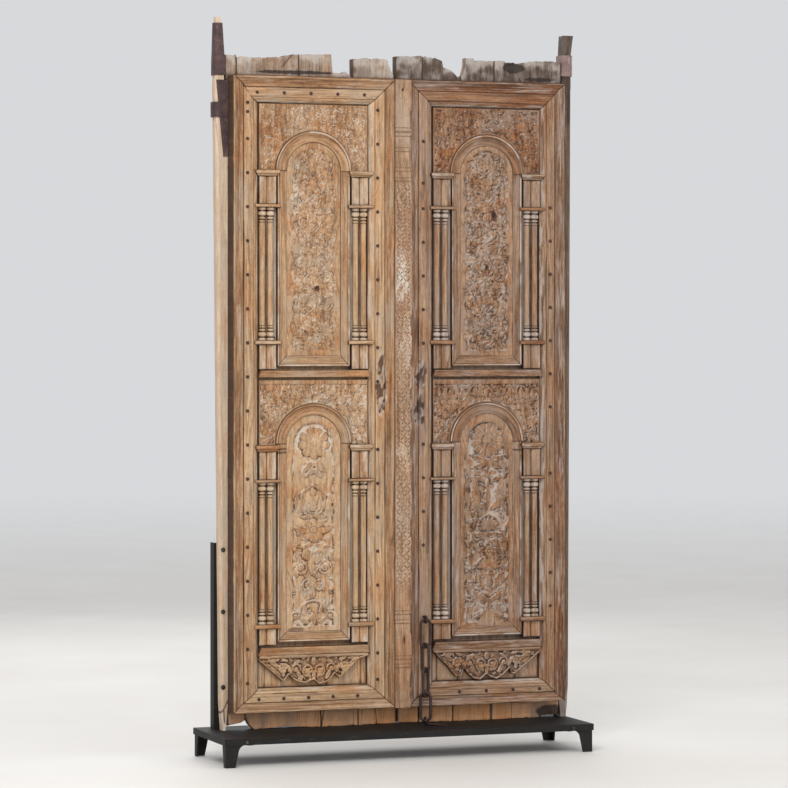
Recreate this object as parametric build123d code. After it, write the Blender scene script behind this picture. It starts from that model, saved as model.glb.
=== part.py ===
from build123d import *
import os
from math import cos, radians, sin

# A pair of carved wooden door leaves, closed, bolted to a black steel display stand.
# Millimetres. X runs across the door, Y runs away from the viewer, Z is up, and the origin
# is on the floor under the middle of the whole thing.
# In the leaves, u is measured across from the door's own centre line and a level is the
# height in front of the planks' face, towards the viewer.

# Stand
plate_margin = 15.35
plate_d = 353.0
stand_h = 92.6
plate_t = 5.0
apron_h = 21.0
apron_t = 4.0
foot_t = 5.0
foot_floor_w = 33.0
foot_knee_w = 45.0
foot_top_w = 95.0
foot_knee_h = 56.0
foot_side_w = 36.0
foot_side_floor_w = 22.0
upright_w = 38.0
upright_t = 5.0
upright_h = 612.0
upright_set_in = 9.0
post_bolt_shares = (0.2327, 0.6355, 0.9659)
post_bolt_d = 8.0
bolt_head_d = 15.0
bolt_head_h = 6.0
bolt_set_in = 27.5
nut_w = 13.0
nut_h = 7.0
foot_bolt_d = 6.0
foot_bolt_head_d = 12.0
foot_bolt_in = 74.0
foot_bolt_drop = 12.0

# Where the door stands on the plate
door_offset = 22.0
board_y = 52.8

# Planks, ledges and posts
plank_t = 38.0
seam_gap = 1.2
ledge_h = 85.0
ledge_t = 34.0
ledge_count = 5
ledge_end_gap = 22.0
plank_lap_gap = 0.3
post_d = 44.0
post_round = 12.0
neck_step = 13.4
neck_lean = 1.8
sheath_t = 4.0
sheath_gap = 0.3
# Each post: its width, how much narrower its foot is, and then its top above the frame: the
# rise, how far it stands out at the neck and the tip, where the neck ends, the tip's width and
# depth and the iron sheath's span
left_head = dict(post_w=43.6, foot_in=20.0, rise=191.5, neck_rise=38.0, neck_out=-1.3,
                 tip_out=-0.5, tip_w=18.0, tip_d=26.0, sheath=(2.5, 172.5))
right_head = dict(post_w=47.0, foot_in=9.0, rise=167.5, neck_rise=100.5, neck_out=1.2,
                  tip_out=9.9, tip_w=38.7, tip_d=44.0, sheath=(29.5, 100.5))
ring_h = 49.0
ring_t = 5.5
ring_drop = 85.5
strap_t = 4.0
strap_top_w = 40.0
strap_low_w = 16.0
strap_h = 250.0
strap_gap = 0.3

# Nailed frame of each leaf
frame_low = 152.5
frame_h = 2080.0
top_rail_h = 88.5
bottom_rail_h = 78.0
lip_level = 58.0
cove_level = 46.0
quirk_level = 44.0
strip_level = 49.0
ovolo_level = 47.0
inner_level = 26.0
lip_share = 0.09
cove_share = 0.40
strip_share = 0.43
ovolo_share = 0.78
nail_head_d = 12.0
nail_head_h = 3.6
nail_shank_w = 4.0
nail_shank_l = 36.0
nail_fit = 0.2

# Panels inside the frame
fit_gap = 0.3
ground_level = 20.0
spandrel_level = 34.0
field_level = 28.0
surround_level = 40.0
surround_inner_level = 36.0
block_level = 42.0
block_groove = 9.0
strip_bar_level = 51.0
cornice_level = 54.0
cornice_low_level = 45.0
rail_bar_level = 50.0
apron_level = 40.0
relief_h = 7.0
spandrel_relief_h = 5.5
volute_share = 0.92

pilaster_offset = 161.7
pilaster_w = 63.0
strip_bar_w = 90.0
cornice_w = 82.5
cornice_top_w = 74.0
cornice_foot_w = 64.0
shaft_offset = 14.2
shaft_r = 9.2
bead_r = 12.3
collar_r = 11.0
shaft_level = 28.5
bead_h = 15.0
arch_r = 131.5
arch_mid_r = 115.0
arch_inner_r = 93.5
jamb_w = 125.5
jamb_mid_w = 109.5

# Upper and lower order, heights from the floor and then part by part
upper_base_z = 1272.6
lower_base_z = 370.7
mid_rail_h = 24.4
mid_rail_gap = 2.2
rail_bar_end = 4.5
base_rail_z = 336.6
base_rail_h = 27.6
base_rail_step = 12.0
base_rail_step_level = 44.0
spandrel_drop = 6.7
apron_foot_z = 236.0
upper_crown_gap = 88.1
lower_crown_gap = 79.3

# Astragal over the meeting edges
cap_w = 59.0
cap_level = 68.0
cap_off_centre = 5.5
braid_pitch = 27.0
braid_lift = 392.5
braid_drop = 342.5
braid_relief = 3.0
band_h = 9.0
low_band_lifts = (134.0, 161.0, 280.0, 310.0)
high_band_drops = (172.0, 188.0, 238.0, 304.0)

# Chain on the right leaf
rod_d = 10.0
link_l = 101.5
link_w = 44.0
link_yaws = (0.0, -70.0, 40.0, -25.0)
link_slack = 0.4
staple_rod_d = 8.0
staple_eye_r = 10.0
staple_leg_l = 40.0
chain_u = 81.0
chain_stand_off = 13.5
hook_eye_r = 11.0
hook_eye_rod_d = 7.0
hook_l = 86.0
hook_root_d = 9.0
hook_tip_d = 5.0
hook_heading = -57.0
hook_eye_heading = -95.0
hook_lift = 0.3

frame_top = frame_low + frame_h
opening_low = frame_low + bottom_rail_h
opening_top = frame_top - top_rail_h


class Leaf:
    """One door leaf: where its stiles and its opening lie across the door."""

    def __init__(self, side, meeting, plank_meeting, inner_w, opening_w, outer_w, post_w):
        self.side = side
        self.meeting = side * meeting
        self.plank_meeting = plank_meeting
        self.inner = side * (meeting + inner_w)
        self.outer = side * (meeting + inner_w + opening_w)
        self.edge = side * (meeting + inner_w + opening_w + outer_w)
        self.inner_w = inner_w
        self.outer_w = outer_w
        self.half = opening_w / 2
        self.centre = (self.inner + self.outer) / 2
        self.post_w = post_w
        self.post_reach = abs(self.edge) + plank_lap_gap + post_w


class Order:
    """A pair of pilasters with the arch between them. The shafts take up what height is left."""

    def __init__(self, base_z, base_h, low_bar_h, top_bar_h, block_h, cornice_h, arch_rise,
                 sill_lift, sill_h, crown_gap, spandrel_top):
        crown = spandrel_top - crown_gap - arch_r - arch_rise
        shaft_h = crown - cornice_h - block_h - top_bar_h - low_bar_h - base_h - base_z
        self.base_z = base_z
        self.low_bar_z = base_z + base_h
        self.shaft_z = self.low_bar_z + low_bar_h
        self.top_bar_z = self.shaft_z + shaft_h
        self.block_z = self.top_bar_z + top_bar_h
        self.cornice_z = self.block_z + block_h
        self.top_z = self.cornice_z + cornice_h
        self.arch_z = self.top_z + arch_rise
        self.sill_z = base_z + sill_lift
        self.sill_top = self.sill_z + sill_h
        self.spandrel_top = spandrel_top


left = Leaf(side=-1, meeting=15.0, plank_meeting=(-4.0, 2.0), inner_w=94.1, opening_w=379.1,
            outer_w=93.9, post_w=left_head["post_w"])
right = Leaf(side=1, meeting=26.0, plank_meeting=(3.0, 8.0), inner_w=93.9, opening_w=385.7,
             outer_w=83.7, post_w=right_head["post_w"])
mid_rail_z = upper_base_z - mid_rail_gap - mid_rail_h
upper = Order(base_z=upper_base_z, base_h=81.8, low_bar_h=13.0, top_bar_h=11.0, block_h=91.4,
              cornice_h=20.3, arch_rise=-1.8, sill_lift=9.9, sill_h=35.5,
              crown_gap=upper_crown_gap, spandrel_top=opening_top - fit_gap)
lower = Order(base_z=lower_base_z, base_h=54.0, low_bar_h=13.9, top_bar_h=9.4, block_h=91.2,
              cornice_h=21.9, arch_rise=3.3, sill_lift=9.6, sill_h=32.9,
              crown_gap=lower_crown_gap, spandrel_top=mid_rail_z - spandrel_drop)
plate_w = 2 * (left.post_reach + plate_margin)
stand_x = (plate_w / 2 - door_offset - right.post_reach - right_head["tip_out"]) / 2
door_x = stand_x + door_offset


def door_plane(level):
    """Plane across the door at a level in front of the planks; its x is u and its y is z."""
    return Plane((door_x, board_y - level, 0), x_dir=(1, 0, 0), z_dir=(0, -1, 0))


def slab(shape, low, high):
    """A flat outline in u and z, made solid between two levels."""
    return extrude(door_plane(low) * shape, amount=high - low)


def area(u_low, u_high, z_low, z_high):
    middle = Pos((u_low + u_high) / 2, (z_low + z_high) / 2)
    return middle * Rectangle(abs(u_high - u_low), z_high - z_low)


def outline(points):
    return make_face(Polyline(*points, close=True))


def group(solids, name):
    return Compound(label=name, children=[piece for item in solids for piece in item.solids()])


# Stand

def stand_plate():
    """Top sheet with a low apron folded down all round."""
    middle = Pos(stand_x, 0, stand_h)
    body = middle * Box(plate_w, plate_d, apron_h, align=(Align.CENTER, Align.CENTER, Align.MAX))
    inside = Box(plate_w - 2 * apron_t, plate_d - 2 * apron_t, apron_h - plate_t,
                 align=(Align.CENTER, Align.CENTER, Align.MAX))
    bored = body - middle * Pos(0, 0, -plate_t) * inside
    for x in foot_bolt_places():
        for y in (-1, 1):
            hole = Rot(90, 0, 0) * Cylinder(foot_bolt_d / 2 + fit_gap, 3 * apron_t)
            bored -= Pos(x, y * (plate_d - apron_t) / 2, foot_bolt_z()) * hole
    return bored


def foot_bolt_places():
    return [stand_x + end * (plate_w / 2 - foot_bolt_in) for end in (-1, 1)]


def foot_bolt_z():
    return stand_h - foot_bolt_drop


def bracket_foot(end_x, end_y):
    """Bent plate under one corner of the stand: a wide flange and a narrow one."""
    top = stand_h - plate_t
    wide_pts = [(0, 0), (foot_floor_w, 0), (foot_knee_w, foot_knee_h)]
    flare = Spline((foot_knee_w, foot_knee_h), (0.62 * foot_top_w, 0.8 * top),
                   (foot_top_w, stand_h - apron_h), tangents=[(0.5, 1), (1, 0.4)])
    rest = Polyline((foot_top_w, stand_h - apron_h), (foot_top_w, top), (0, top), (0, 0))
    wide = make_face(Polyline(*wide_pts) + flare + rest)
    narrow = outline([(0, 0), (foot_side_floor_w, 0), (foot_side_w, stand_h - apron_h),
                      (foot_side_w, top), (0, top)])
    face_x = Plane(origin=(0, 0, 0), x_dir=(1, 0, 0), z_dir=(0, -1, 0))
    face_y = Plane(origin=(0, 0, 0), x_dir=(0, 1, 0), z_dir=(1, 0, 0))
    bent = extrude(face_x * wide, amount=-foot_t) + extrude(face_y * narrow, amount=foot_t)
    hole = Rot(90, 0, 0) * Cylinder(foot_bolt_d / 2 + fit_gap, 4 * foot_t)
    bent -= Pos(foot_bolt_in - apron_t, 0, foot_bolt_z()) * hole
    corner = Pos(stand_x - plate_w / 2 + apron_t, -plate_d / 2 + apron_t, 0) * bent
    if end_x > 0:
        corner = corner.mirror(Plane((stand_x, 0, 0), z_dir=(1, 0, 0)))
    if end_y > 0:
        corner = corner.mirror(Plane.XZ)
    return corner


def upright(leaf):
    """Angle iron behind a post: one flange on the post's back, one turned away from it."""
    side = leaf.side
    outer = side * (leaf.post_reach - upright_set_in)
    front = board_y + post_d
    inner = outer - side * upright_w
    flat = area(outer, inner, front, front + upright_t)
    turned = area(outer, outer - side * upright_t, front, front + upright_w)
    section = Pos(door_x, 0) * (flat + turned)
    bar = Pos(0, 0, stand_h) * extrude(section, amount=upright_h)
    for z in post_bolt_heights():
        bar -= bolt_bore(leaf, z)
    return bar


def post_bolt_heights():
    return [stand_h + share * upright_h for share in post_bolt_shares]


def bolt_u(leaf):
    return leaf.side * (leaf.post_reach - bolt_set_in)


def bolt_bore(leaf, z):
    hole = Cylinder(post_bolt_d / 2 + nail_fit, 4 * post_d)
    return Pos(door_x + bolt_u(leaf), board_y, z) * Rot(90, 0, 0) * hole


def bolt(length, shank_d, head_d):
    """Round-headed bolt with its nut, head at y = 0 and the shank along +Y."""
    ball_r = (head_d ** 2 / 4 + bolt_head_h ** 2) / (2 * bolt_head_h)
    over = Box(head_d, head_d, bolt_head_h, align=(Align.CENTER, Align.CENTER, Align.MIN))
    dome = Pos(0, 0, bolt_head_h - ball_r) * Sphere(ball_r) & over
    shank = Cylinder(shank_d / 2, length + nut_h, align=(Align.CENTER, Align.CENTER, Align.MAX))
    nut = Pos(0, 0, -length - nut_h) * extrude(RegularPolygon(nut_w / 2, 6), amount=nut_h)
    return Rot(90, 0, 0) * (dome + shank + nut)


def stand_bolts():
    made = []
    for leaf in (left, right):
        for z in post_bolt_heights():
            place = Pos(door_x + bolt_u(leaf), board_y, z)
            made.append(place * bolt(post_d + upright_t, post_bolt_d, bolt_head_d))
    for x in foot_bolt_places():
        short = bolt(apron_t + foot_t, foot_bolt_d, foot_bolt_head_d)
        made.append(Pos(x, -plate_d / 2, foot_bolt_z()) * short)
        made.append(Pos(x, plate_d / 2, foot_bolt_z()) * Rot(0, 0, 180) * short)
    return group(made, "stand_bolts")


# Planks and ledges

# Each plank: shares of the leaf's width at its two seams, at the top and at the foot, its
# top edge as (share, rise above the frame) and its foot as (share, lift above the plate).
left_planks = [
    dict(top=[(0.000, 15.5), (0.019, 32.5), (0.035, 54.5), (0.036, 65.5), (0.059, 71.5),
              (0.248, 71.5)],
         foot=[(0.000, 1.5), (0.226, 0.0)]),
    dict(top=[(0.248, 7.5), (0.257, 6.5), (0.272, 15.5), (0.292, 25.5), (0.316, 18.5),
              (0.369, 20.5), (0.376, 40.5), (0.369, 80.5), (0.571, 77.5)],
         foot=[(0.226, 0.5), (0.447, 0.0)]),
    dict(top=[(0.571, 77.5), (0.608, 76.5), (0.720, 65.5), (0.855, 63.5), (0.936, 67.5)],
         foot=[(0.447, 0.5), (0.507, 0.0), (0.653, 6.5), (0.779, 2.5), (0.843, 0.0),
               (0.872, 16.5), (0.898, 47.5)]),
    dict(top=[(0.936, 70.5), (1.000, 69.5)],
         foot=[(0.898, 31.5), (0.925, 23.5), (0.987, 17.5), (1.000, 15.5)]),
]
right_planks = [
    dict(top=[(0.000, 80.5), (0.158, 85.0)],
         foot=[(0.000, 4.5), (0.129, 1.5)]),
    dict(top=[(0.158, 84.5), (0.234, 79.5), (0.277, 71.5), (0.285, 49.5), (0.319, 43.5),
              (0.353, 29.5), (0.375, 13.5), (0.389, 17.5)],
         foot=[(0.129, 2.5), (0.339, 0.0)]),
    dict(top=[(0.389, 18.5), (0.406, 30.5), (0.418, 51.5), (0.421, 82.5), (0.467, 81.5),
              (0.468, 74.5), (0.591, 75.5)],
         foot=[(0.339, 0.5), (0.580, 0.0)]),
    dict(top=[(0.591, 75.5), (0.652, 76.5), (0.660, 70.5), (0.772, 71.5), (0.818, 77.5),
              (0.917, 79.5), (1.000, 78.5)],
         foot=[(0.580, 0.0), (0.762, 1.5), (0.889, 0.0), (0.891, 7.5), (1.000, 9.5)]),
]


def planks(leaf, rows, name):
    """Four wide planks with slanting seams, worn along the top and broken at the foot."""
    top_start, foot_start = leaf.plank_meeting
    foot_end = leaf.edge
    top_end = foot_end + leaf.side * (neck_step - sheath_t - sheath_gap - plank_lap_gap)
    shoulder = frame_top - neck_step
    made = []
    for row in rows:
        top = [(top_start + share * (top_end - top_start), frame_top + rise)
               for share, rise in row["top"]]
        foot = [(foot_start + share * (foot_end - foot_start), stand_h + lift)
                for share, lift in row["foot"]]
        gap = leaf.side * seam_gap / 2
        first_u, first_z = top[0]
        last_u, last_z = top[-1]
        top[0] = (first_u + gap, first_z)
        low_u, low_z = foot[0]
        foot[0] = (low_u + gap, low_z)
        if row is rows[-1]:
            top[-1] = (last_u, last_z)
            side_pts = [(top_end, shoulder), (foot_end, shoulder)]
        else:
            top[-1] = (last_u - gap, last_z)
            high_u, high_z = foot[-1]
            foot[-1] = (high_u - gap, high_z)
            side_pts = []
        made.append(slab(outline(top + side_pts + foot[::-1]), -plank_t, 0))
    return group(made, name)


def ledges(leaf, name):
    """Plain bars across the back of a leaf, which hold its planks together."""
    start = leaf.meeting
    end = leaf.edge - leaf.side * ledge_end_gap
    first = opening_low
    last = opening_top - ledge_h
    step = (last - first) / (ledge_count - 1)
    bars = []
    for k in range(ledge_count):
        bar = slab(area(start, end, first + k * step, first + k * step + ledge_h),
                   -plank_t - ledge_t, -plank_t)
        bars.append(bar)
    return group(bars, name)


# Pivot posts and their iron

def post_section(outer, inner, z, depth, grow=0.0):
    """Section of a post at one height, rounded on the side away from the leaf."""
    side = 1 if outer > inner else -1
    out_u = outer + side * grow
    in_u = inner - side * grow
    front = grow
    back = -depth - grow
    bend = min(post_round + grow, 0.9 * abs(out_u - in_u), 0.45 * (front - back))
    reach = bend * (1 - cos(radians(45)))
    pts = Polyline((out_u - side * bend, front), (in_u, front), (in_u, back),
                   (out_u - side * bend, back))
    low = ThreePointArc((out_u - side * bend, back), (out_u - side * reach, back + reach),
                        (out_u, back + bend))
    edge = Line((out_u, back + bend), (out_u, front - bend))
    high = ThreePointArc((out_u, front - bend), (out_u - side * reach, front - reach),
                         (out_u - side * bend, front))
    flat = make_face(pts + low + edge + high)
    place = Plane((door_x, board_y, z), x_dir=(1, 0, 0), z_dir=(0, 0, -1))
    return place * flat


def post_stations(leaf, head):
    """Outer edge, inner edge, height and depth of a post's sections, from foot to tip."""
    side = leaf.side
    reach = leaf.post_reach
    foot = reach - head["foot_in"]
    width = leaf.post_w
    inner = leaf.edge + side * plank_lap_gap
    neck = leaf.edge + side * neck_step
    shoulder = frame_top - neck_step
    tip = reach + head["tip_out"]
    return [
        (side * (foot - 0.16 * width), inner + side * 0.13 * width, stand_h, post_d),
        (side * (foot - 0.07 * width), inner, stand_h + width, post_d),
        (side * foot, inner, stand_h + 2.2 * width, post_d),
        (side * reach, inner, shoulder, post_d),
        (side * (reach + 0.6 * head["neck_out"]), neck, shoulder, post_d),
        (side * (reach + head["neck_out"]), neck + side * neck_lean,
         frame_top + head["neck_rise"], post_d),
        (side * tip, side * (tip - head["tip_w"]), frame_top + head["rise"], head["tip_d"]),
    ]


def post_at(stations, z, grow):
    """Section of a post at any height between two of its stations."""
    for (out_a, in_a, z_a, d_a), (out_b, in_b, z_b, d_b) in zip(stations, stations[1:]):
        if z_a < z_b and z <= z_b:
            share = (z - z_a) / (z_b - z_a)
            return post_section(out_a + share * (out_b - out_a), in_a + share * (in_b - in_a),
                                z, d_a + share * (d_b - d_a), grow)


def post(leaf, head):
    """Pivot post: eroded foot, straight run beside the leaf, narrower neck and tip."""
    stations = post_stations(leaf, head)
    runs = [pair for pair in zip(stations, stations[1:]) if pair[1][2] > pair[0][2]]
    made = None
    for ends in runs:
        part = loft([post_section(*end) for end in ends], ruled=True)
        for z in post_bolt_heights():
            if ends[0][2] < z < ends[1][2]:
                part -= bolt_bore(leaf, z)
        made = part if made is None else made + part
    return made


def sheath(leaf, head):
    """Iron sleeve round the neck of a post, between two heights above the frame."""
    stations = post_stations(leaf, head)[4:]
    low, high = [frame_top + lift for lift in head["sheath"]]
    cuts = [low] + [z for _, _, z, _ in stations if low < z < high] + [high]
    skin = None
    for ends in zip(cuts, cuts[1:]):
        shell = (loft([post_at(stations, z, sheath_gap + sheath_t) for z in ends], ruled=True)
                 - loft([post_at(stations, z, sheath_gap) for z in ends], ruled=True))
        skin = shell if skin is None else skin + shell
    return skin


def left_strap():
    """Ring round the left post and the tapered strap nailed down its face."""
    ring_top = frame_top - ring_drop
    inner = left.edge - plank_lap_gap
    stations = post_stations(left, left_head)[2:4]
    heights = (ring_top - ring_h, ring_top)
    outside = loft([post_at(stations, z, strap_gap + ring_t) for z in heights], ruled=True)
    inside = loft([post_at(stations, z, strap_gap) for z in heights], ruled=True)
    keep = slab(area(-left.post_reach - 2 * ring_t, inner - fit_gap, ring_top - ring_h,
                     ring_top), -2 * post_d, 2 * ring_t)
    ring = (outside - inside) & keep
    strap_top = frame_top - neck_step
    strap = slab(outline([(inner - fit_gap, strap_top), (inner - strap_top_w, strap_top),
                          (inner - strap_low_w, strap_top - strap_h),
                          (inner - fit_gap, strap_top - strap_h)]),
                 strap_gap, strap_gap + strap_t)
    return ring + strap


# Nailed frame

def frame_profile(width):
    """Section of a frame member: lip, cove, nail strip and ovolo, out of the planks' face."""

    def at(share, level):
        return (share * width, level)

    cove_mid = (lip_share + 2 * cove_share) / 3
    quirk = (cove_share + strip_share) / 2
    bead = (ovolo_share + 1) / 2
    return make_face(
        Polyline(at(1, 0), at(0, 0), at(0, lip_level), at(lip_share, lip_level))
        + ThreePointArc(at(lip_share, lip_level),
                        at(0.55 * lip_share + 0.45 * cove_share, 0.35 * lip_level
                           + 0.65 * cove_level),
                        at(cove_mid, cove_level))
        + Polyline(at(cove_mid, cove_level), at(cove_share, cove_level),
                   at(quirk, quirk_level), at(strip_share, strip_level),
                   at(ovolo_share, strip_level), at(ovolo_share, ovolo_level))
        + ThreePointArc(at(ovolo_share, ovolo_level),
                        at(bead + 0.02, 0.3 * inner_level + 0.7 * ovolo_level),
                        at(1, inner_level))
        + Line(at(1, inner_level), at(1, 0)))


def stile(outer, inner, nails):
    """Upright frame member, mitred to the rails from corner to corner."""
    width = abs(inner - outer)
    turn = 1 if inner > outer else -1
    place = Plane((door_x + outer, board_y, 0), x_dir=(turn, 0, 0), z_dir=(0, 0, -turn))
    bar = extrude(place * frame_profile(width), amount=-turn * frame_top)
    mitred = slab(outline([(outer, frame_low), (inner, opening_low), (inner, opening_top),
                           (outer, frame_top)]), 0, lip_level)
    return bore_nails(bar & mitred, nails)


def rail(leaf, edge_z, inner_z, nails):
    """Level frame member between the two mitres."""
    height = abs(inner_z - edge_z)
    turn = 1 if inner_z > edge_z else -1
    ends = sorted([leaf.meeting, leaf.edge])
    inner_ends = sorted([leaf.inner, leaf.outer])
    place = Plane((door_x + ends[0], board_y, edge_z), x_dir=(0, 0, turn),
                  z_dir=(turn, 0, 0))
    bar = extrude(place * frame_profile(height), amount=turn * (ends[1] - ends[0]))
    mitred = slab(outline([(ends[0], edge_z), (ends[1], edge_z), (inner_ends[1], inner_z),
                           (inner_ends[0], inner_z)]), 0, lip_level)
    return bore_nails(bar & mitred, nails)


def bore_nails(member, places):
    for u, z in places:
        hole = area(u - nail_shank_w / 2 - nail_fit, u + nail_shank_w / 2 + nail_fit,
                    z - nail_shank_w / 2 - nail_fit, z + nail_shank_w / 2 + nail_fit)
        member -= slab(hole, strip_level - nail_shank_l - nail_fit, lip_level)
    return member


# Nail rows of each leaf: how far across its member a row lies, its first nail, pitch and
# count, the nails that are gone and those that stand out of the row. Rows up a stile are in
# shares of the opening's height, from its foot; rows along a rail in shares of its width.
left_rows = dict(
    outer=dict(share=0.554, first=0.0102, pitch=0.05801, count=17, gone=(), odd=(0.9843, 1.0)),
    inner=dict(share=0.687, first=0.0546, pitch=0.05858, count=17, gone=(7,), odd=(0.0091,)),
    top=dict(share=0.616, first=-0.0232, pitch=0.2445, count=5, gone=(), odd=()),
    foot=dict(share=0.564, first=-0.0074, pitch=0.2250, count=5, gone=(), odd=()))
right_rows = dict(
    outer=dict(share=0.613, first=0.1273, pitch=0.05832, count=13, gone=(5,), odd=()),
    inner=dict(share=0.590, first=0.2391, pitch=0.05837, count=13, gone=(4, 5, 11),
               odd=(0.8673,)),
    foot=dict(share=0.564, first=0.2336, pitch=0.2497, count=4, gone=(), odd=()))


def nail_places(leaf, rows):
    """Nail positions of a leaf, member by member."""
    opening_left = min(leaf.inner, leaf.outer)
    opening_h = opening_top - opening_low
    places = {}
    for member, row in rows.items():
        span = opening_h if member in ("outer", "inner") else 2 * leaf.half
        shares = [row["first"] + k * row["pitch"] for k in range(row["count"])
                  if k not in row["gone"]] + list(row["odd"])
        steps = [share * span for share in shares]
        if member == "outer":
            u = leaf.edge - leaf.side * row["share"] * leaf.outer_w
            places[member] = [(u, opening_low + step) for step in steps]
        elif member == "inner":
            u = leaf.meeting + leaf.side * row["share"] * leaf.inner_w
            places[member] = [(u, opening_low + step) for step in steps]
        elif member == "top":
            z = frame_top - row["share"] * top_rail_h
            places[member] = [(opening_left + step, z) for step in steps]
        else:
            z = frame_low + row["share"] * bottom_rail_h
            places[member] = [(opening_left + step, z) for step in steps]
    return places


def forged_nail(u, z):
    """Nail with a beaten eight-sided head on a square shank."""
    place = door_plane(strip_level) * Pos(u, z)
    crown = loft([place * RegularPolygon(nail_head_d / 2, 8),
                  place * Pos(0, 0, nail_head_h) * RegularPolygon(0.4 * nail_head_d, 8)],
                 ruled=True)
    shank = extrude(place * Rectangle(nail_shank_w, nail_shank_w), amount=-nail_shank_l)
    return crown + shank


def nails(places, name):
    made = [forged_nail(u, z) for member in places.values() for u, z in member]
    return group(made, name)


# Panels, surrounds and the two orders

def ground(leaf):
    """Plain boards that close the opening behind all the carved pieces."""
    low = min(leaf.inner, leaf.outer) + fit_gap
    high = max(leaf.inner, leaf.outer) - fit_gap
    return slab(area(low, high, opening_low + fit_gap, opening_top - fit_gap), 0, ground_level)


def arch_outline(centre, half, radius, foot_z, arch_z):
    """Round-headed outline: straight sides up to the arch centre, a half circle above."""
    sides = area(centre - half, centre + half, foot_z, arch_z)
    disc = Pos(centre, arch_z) * Circle(radius)
    upper_half = area(centre - radius, centre + radius, arch_z, arch_z + radius + 1)
    return sides + (disc & upper_half)


def surround(leaf, order, name):
    """Archivolt, two jambs and a sill round the carved field, in two steps each."""
    c = leaf.centre
    spring = order.arch_z
    sill_mid = (order.sill_z + order.sill_top) / 2
    whole = arch_outline(c, jamb_w, arch_r, order.sill_z, spring)
    middle = arch_outline(c, jamb_mid_w, arch_mid_r, sill_mid, spring)
    hole = arch_outline(c, arch_inner_r, arch_inner_r, order.sill_top, spring)
    body = (slab(whole - middle, ground_level, surround_level)
            + slab(middle - hole, ground_level, surround_inner_level))
    zones = [area(c - arch_r, c + arch_r, spring, spring + 1.1 * arch_r),
             outline([(c - jamb_w, order.sill_z), (c + jamb_w, order.sill_z),
                      (c + arch_inner_r, order.sill_top), (c - arch_inner_r, order.sill_top)])]
    for side in (-1, 1):
        zones.append(outline([(c + side * jamb_w, order.sill_z),
                              (c + side * arch_inner_r, order.sill_top),
                              (c + side * arch_inner_r, spring),
                              (c + side * jamb_w, spring)]))
    return group([body & slab(zone, ground_level, surround_level) for zone in zones], name)


def pilasters(leaf):
    return [leaf.centre - pilaster_offset, leaf.centre + pilaster_offset]


def within_opening(leaf, part):
    low = min(leaf.inner, leaf.outer) + fit_gap
    high = max(leaf.inner, leaf.outer) - fit_gap
    return part & slab(area(low, high, opening_low, opening_top), 0, 2 * cap_level)


def grooved_block(u, z_low, z_high):
    """Pilaster block whose face falls into a V groove down its middle."""
    section = outline([(-pilaster_w / 2, ground_level), (pilaster_w / 2, ground_level),
                       (pilaster_w / 2, block_level), (0, block_level - block_groove),
                       (-pilaster_w / 2, block_level)])
    place = Plane((door_x + u, board_y, z_low), x_dir=(1, 0, 0), z_dir=(0, 0, -1))
    return extrude(place * section, amount=-(z_high - z_low))


def blocks(leaf, name):
    made = []
    for order in (upper, lower):
        for u in pilasters(leaf):
            for z_low, z_high in ((order.base_z, order.low_bar_z),
                                  (order.block_z, order.cornice_z)):
                made.append(within_opening(leaf, grooved_block(u, z_low, z_high)))
    return group(made, name)


def cornice(u, order):
    """Short moulding on a capital block, wider at its middle than at top and foot."""
    low, high = order.cornice_z, order.top_z
    middle = (low + high) / 2
    face = outline([(u - cornice_foot_w / 2, low), (u + cornice_foot_w / 2, low),
                    (u + cornice_w / 2, middle), (u + cornice_top_w / 2, high),
                    (u - cornice_top_w / 2, high), (u - cornice_w / 2, middle)])
    side = outline([(ground_level, low), (cornice_low_level, low), (cornice_level, middle),
                    (strip_bar_level, high), (ground_level, high)])
    across = Plane((door_x + u - cornice_w, board_y, 0), x_dir=(0, -1, 0), z_dir=(-1, 0, 0))
    return (slab(face, ground_level, cornice_level)
            & extrude(across * side, amount=-2 * cornice_w))


def strip_bar(u, z_low, z_high):
    half = strip_bar_w / 2
    return slab(area(u - half, u + half, z_low, z_high), ground_level, strip_bar_level)


def cornices(leaf, members, arches, name):
    """Cornices and the flat bars over and under the colonettes, let over the frame."""
    made = []
    for order in (upper, lower):
        for u in pilasters(leaf):
            pieces = [cornice(u, order), strip_bar(u, order.top_bar_z, order.block_z),
                      strip_bar(u, order.low_bar_z, order.shaft_z)]
            for piece in pieces:
                for member in members:
                    piece -= member
                for arch in arches:
                    piece -= arch
                made.append(piece)
    return group(made, name)


def colonette(u, order):
    """Turned three-quarter column with beads and collars at both ends."""
    low, high = order.shaft_z, order.top_bar_z
    b = bead_h
    pts = [(0, low), (bead_r, low), (bead_r, low + 0.45 * b), (shaft_r, low + 0.9 * b),
           (bead_r, low + 1.4 * b), (bead_r, low + 1.8 * b), (shaft_r, low + 2.2 * b),
           (collar_r, low + 2.5 * b), (collar_r, low + 3 * b), (shaft_r, low + 3.3 * b),
           (shaft_r, high - 3.3 * b), (collar_r, high - 3 * b), (collar_r, high - 2.5 * b),
           (shaft_r, high - 2.2 * b), (bead_r, high - 1.8 * b), (bead_r, high - 1.4 * b),
           (shaft_r, high - 0.9 * b), (bead_r, high - 0.45 * b), (bead_r, high), (0, high)]
    turned = revolve(Plane.XZ * outline(pts), Axis.Z)
    placed = Pos(door_x + u, board_y - shaft_level, 0) * turned
    front = slab(area(u - 2 * bead_r, u + 2 * bead_r, low - 1, high + 1), ground_level,
                 2 * shaft_level)
    return placed & front


def colonettes(leaf, name):
    made = []
    for order in (upper, lower):
        for u in pilasters(leaf):
            for offset in (-shaft_offset, shaft_offset):
                made.append(colonette(u + offset, order))
    return group(made, name)


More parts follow.
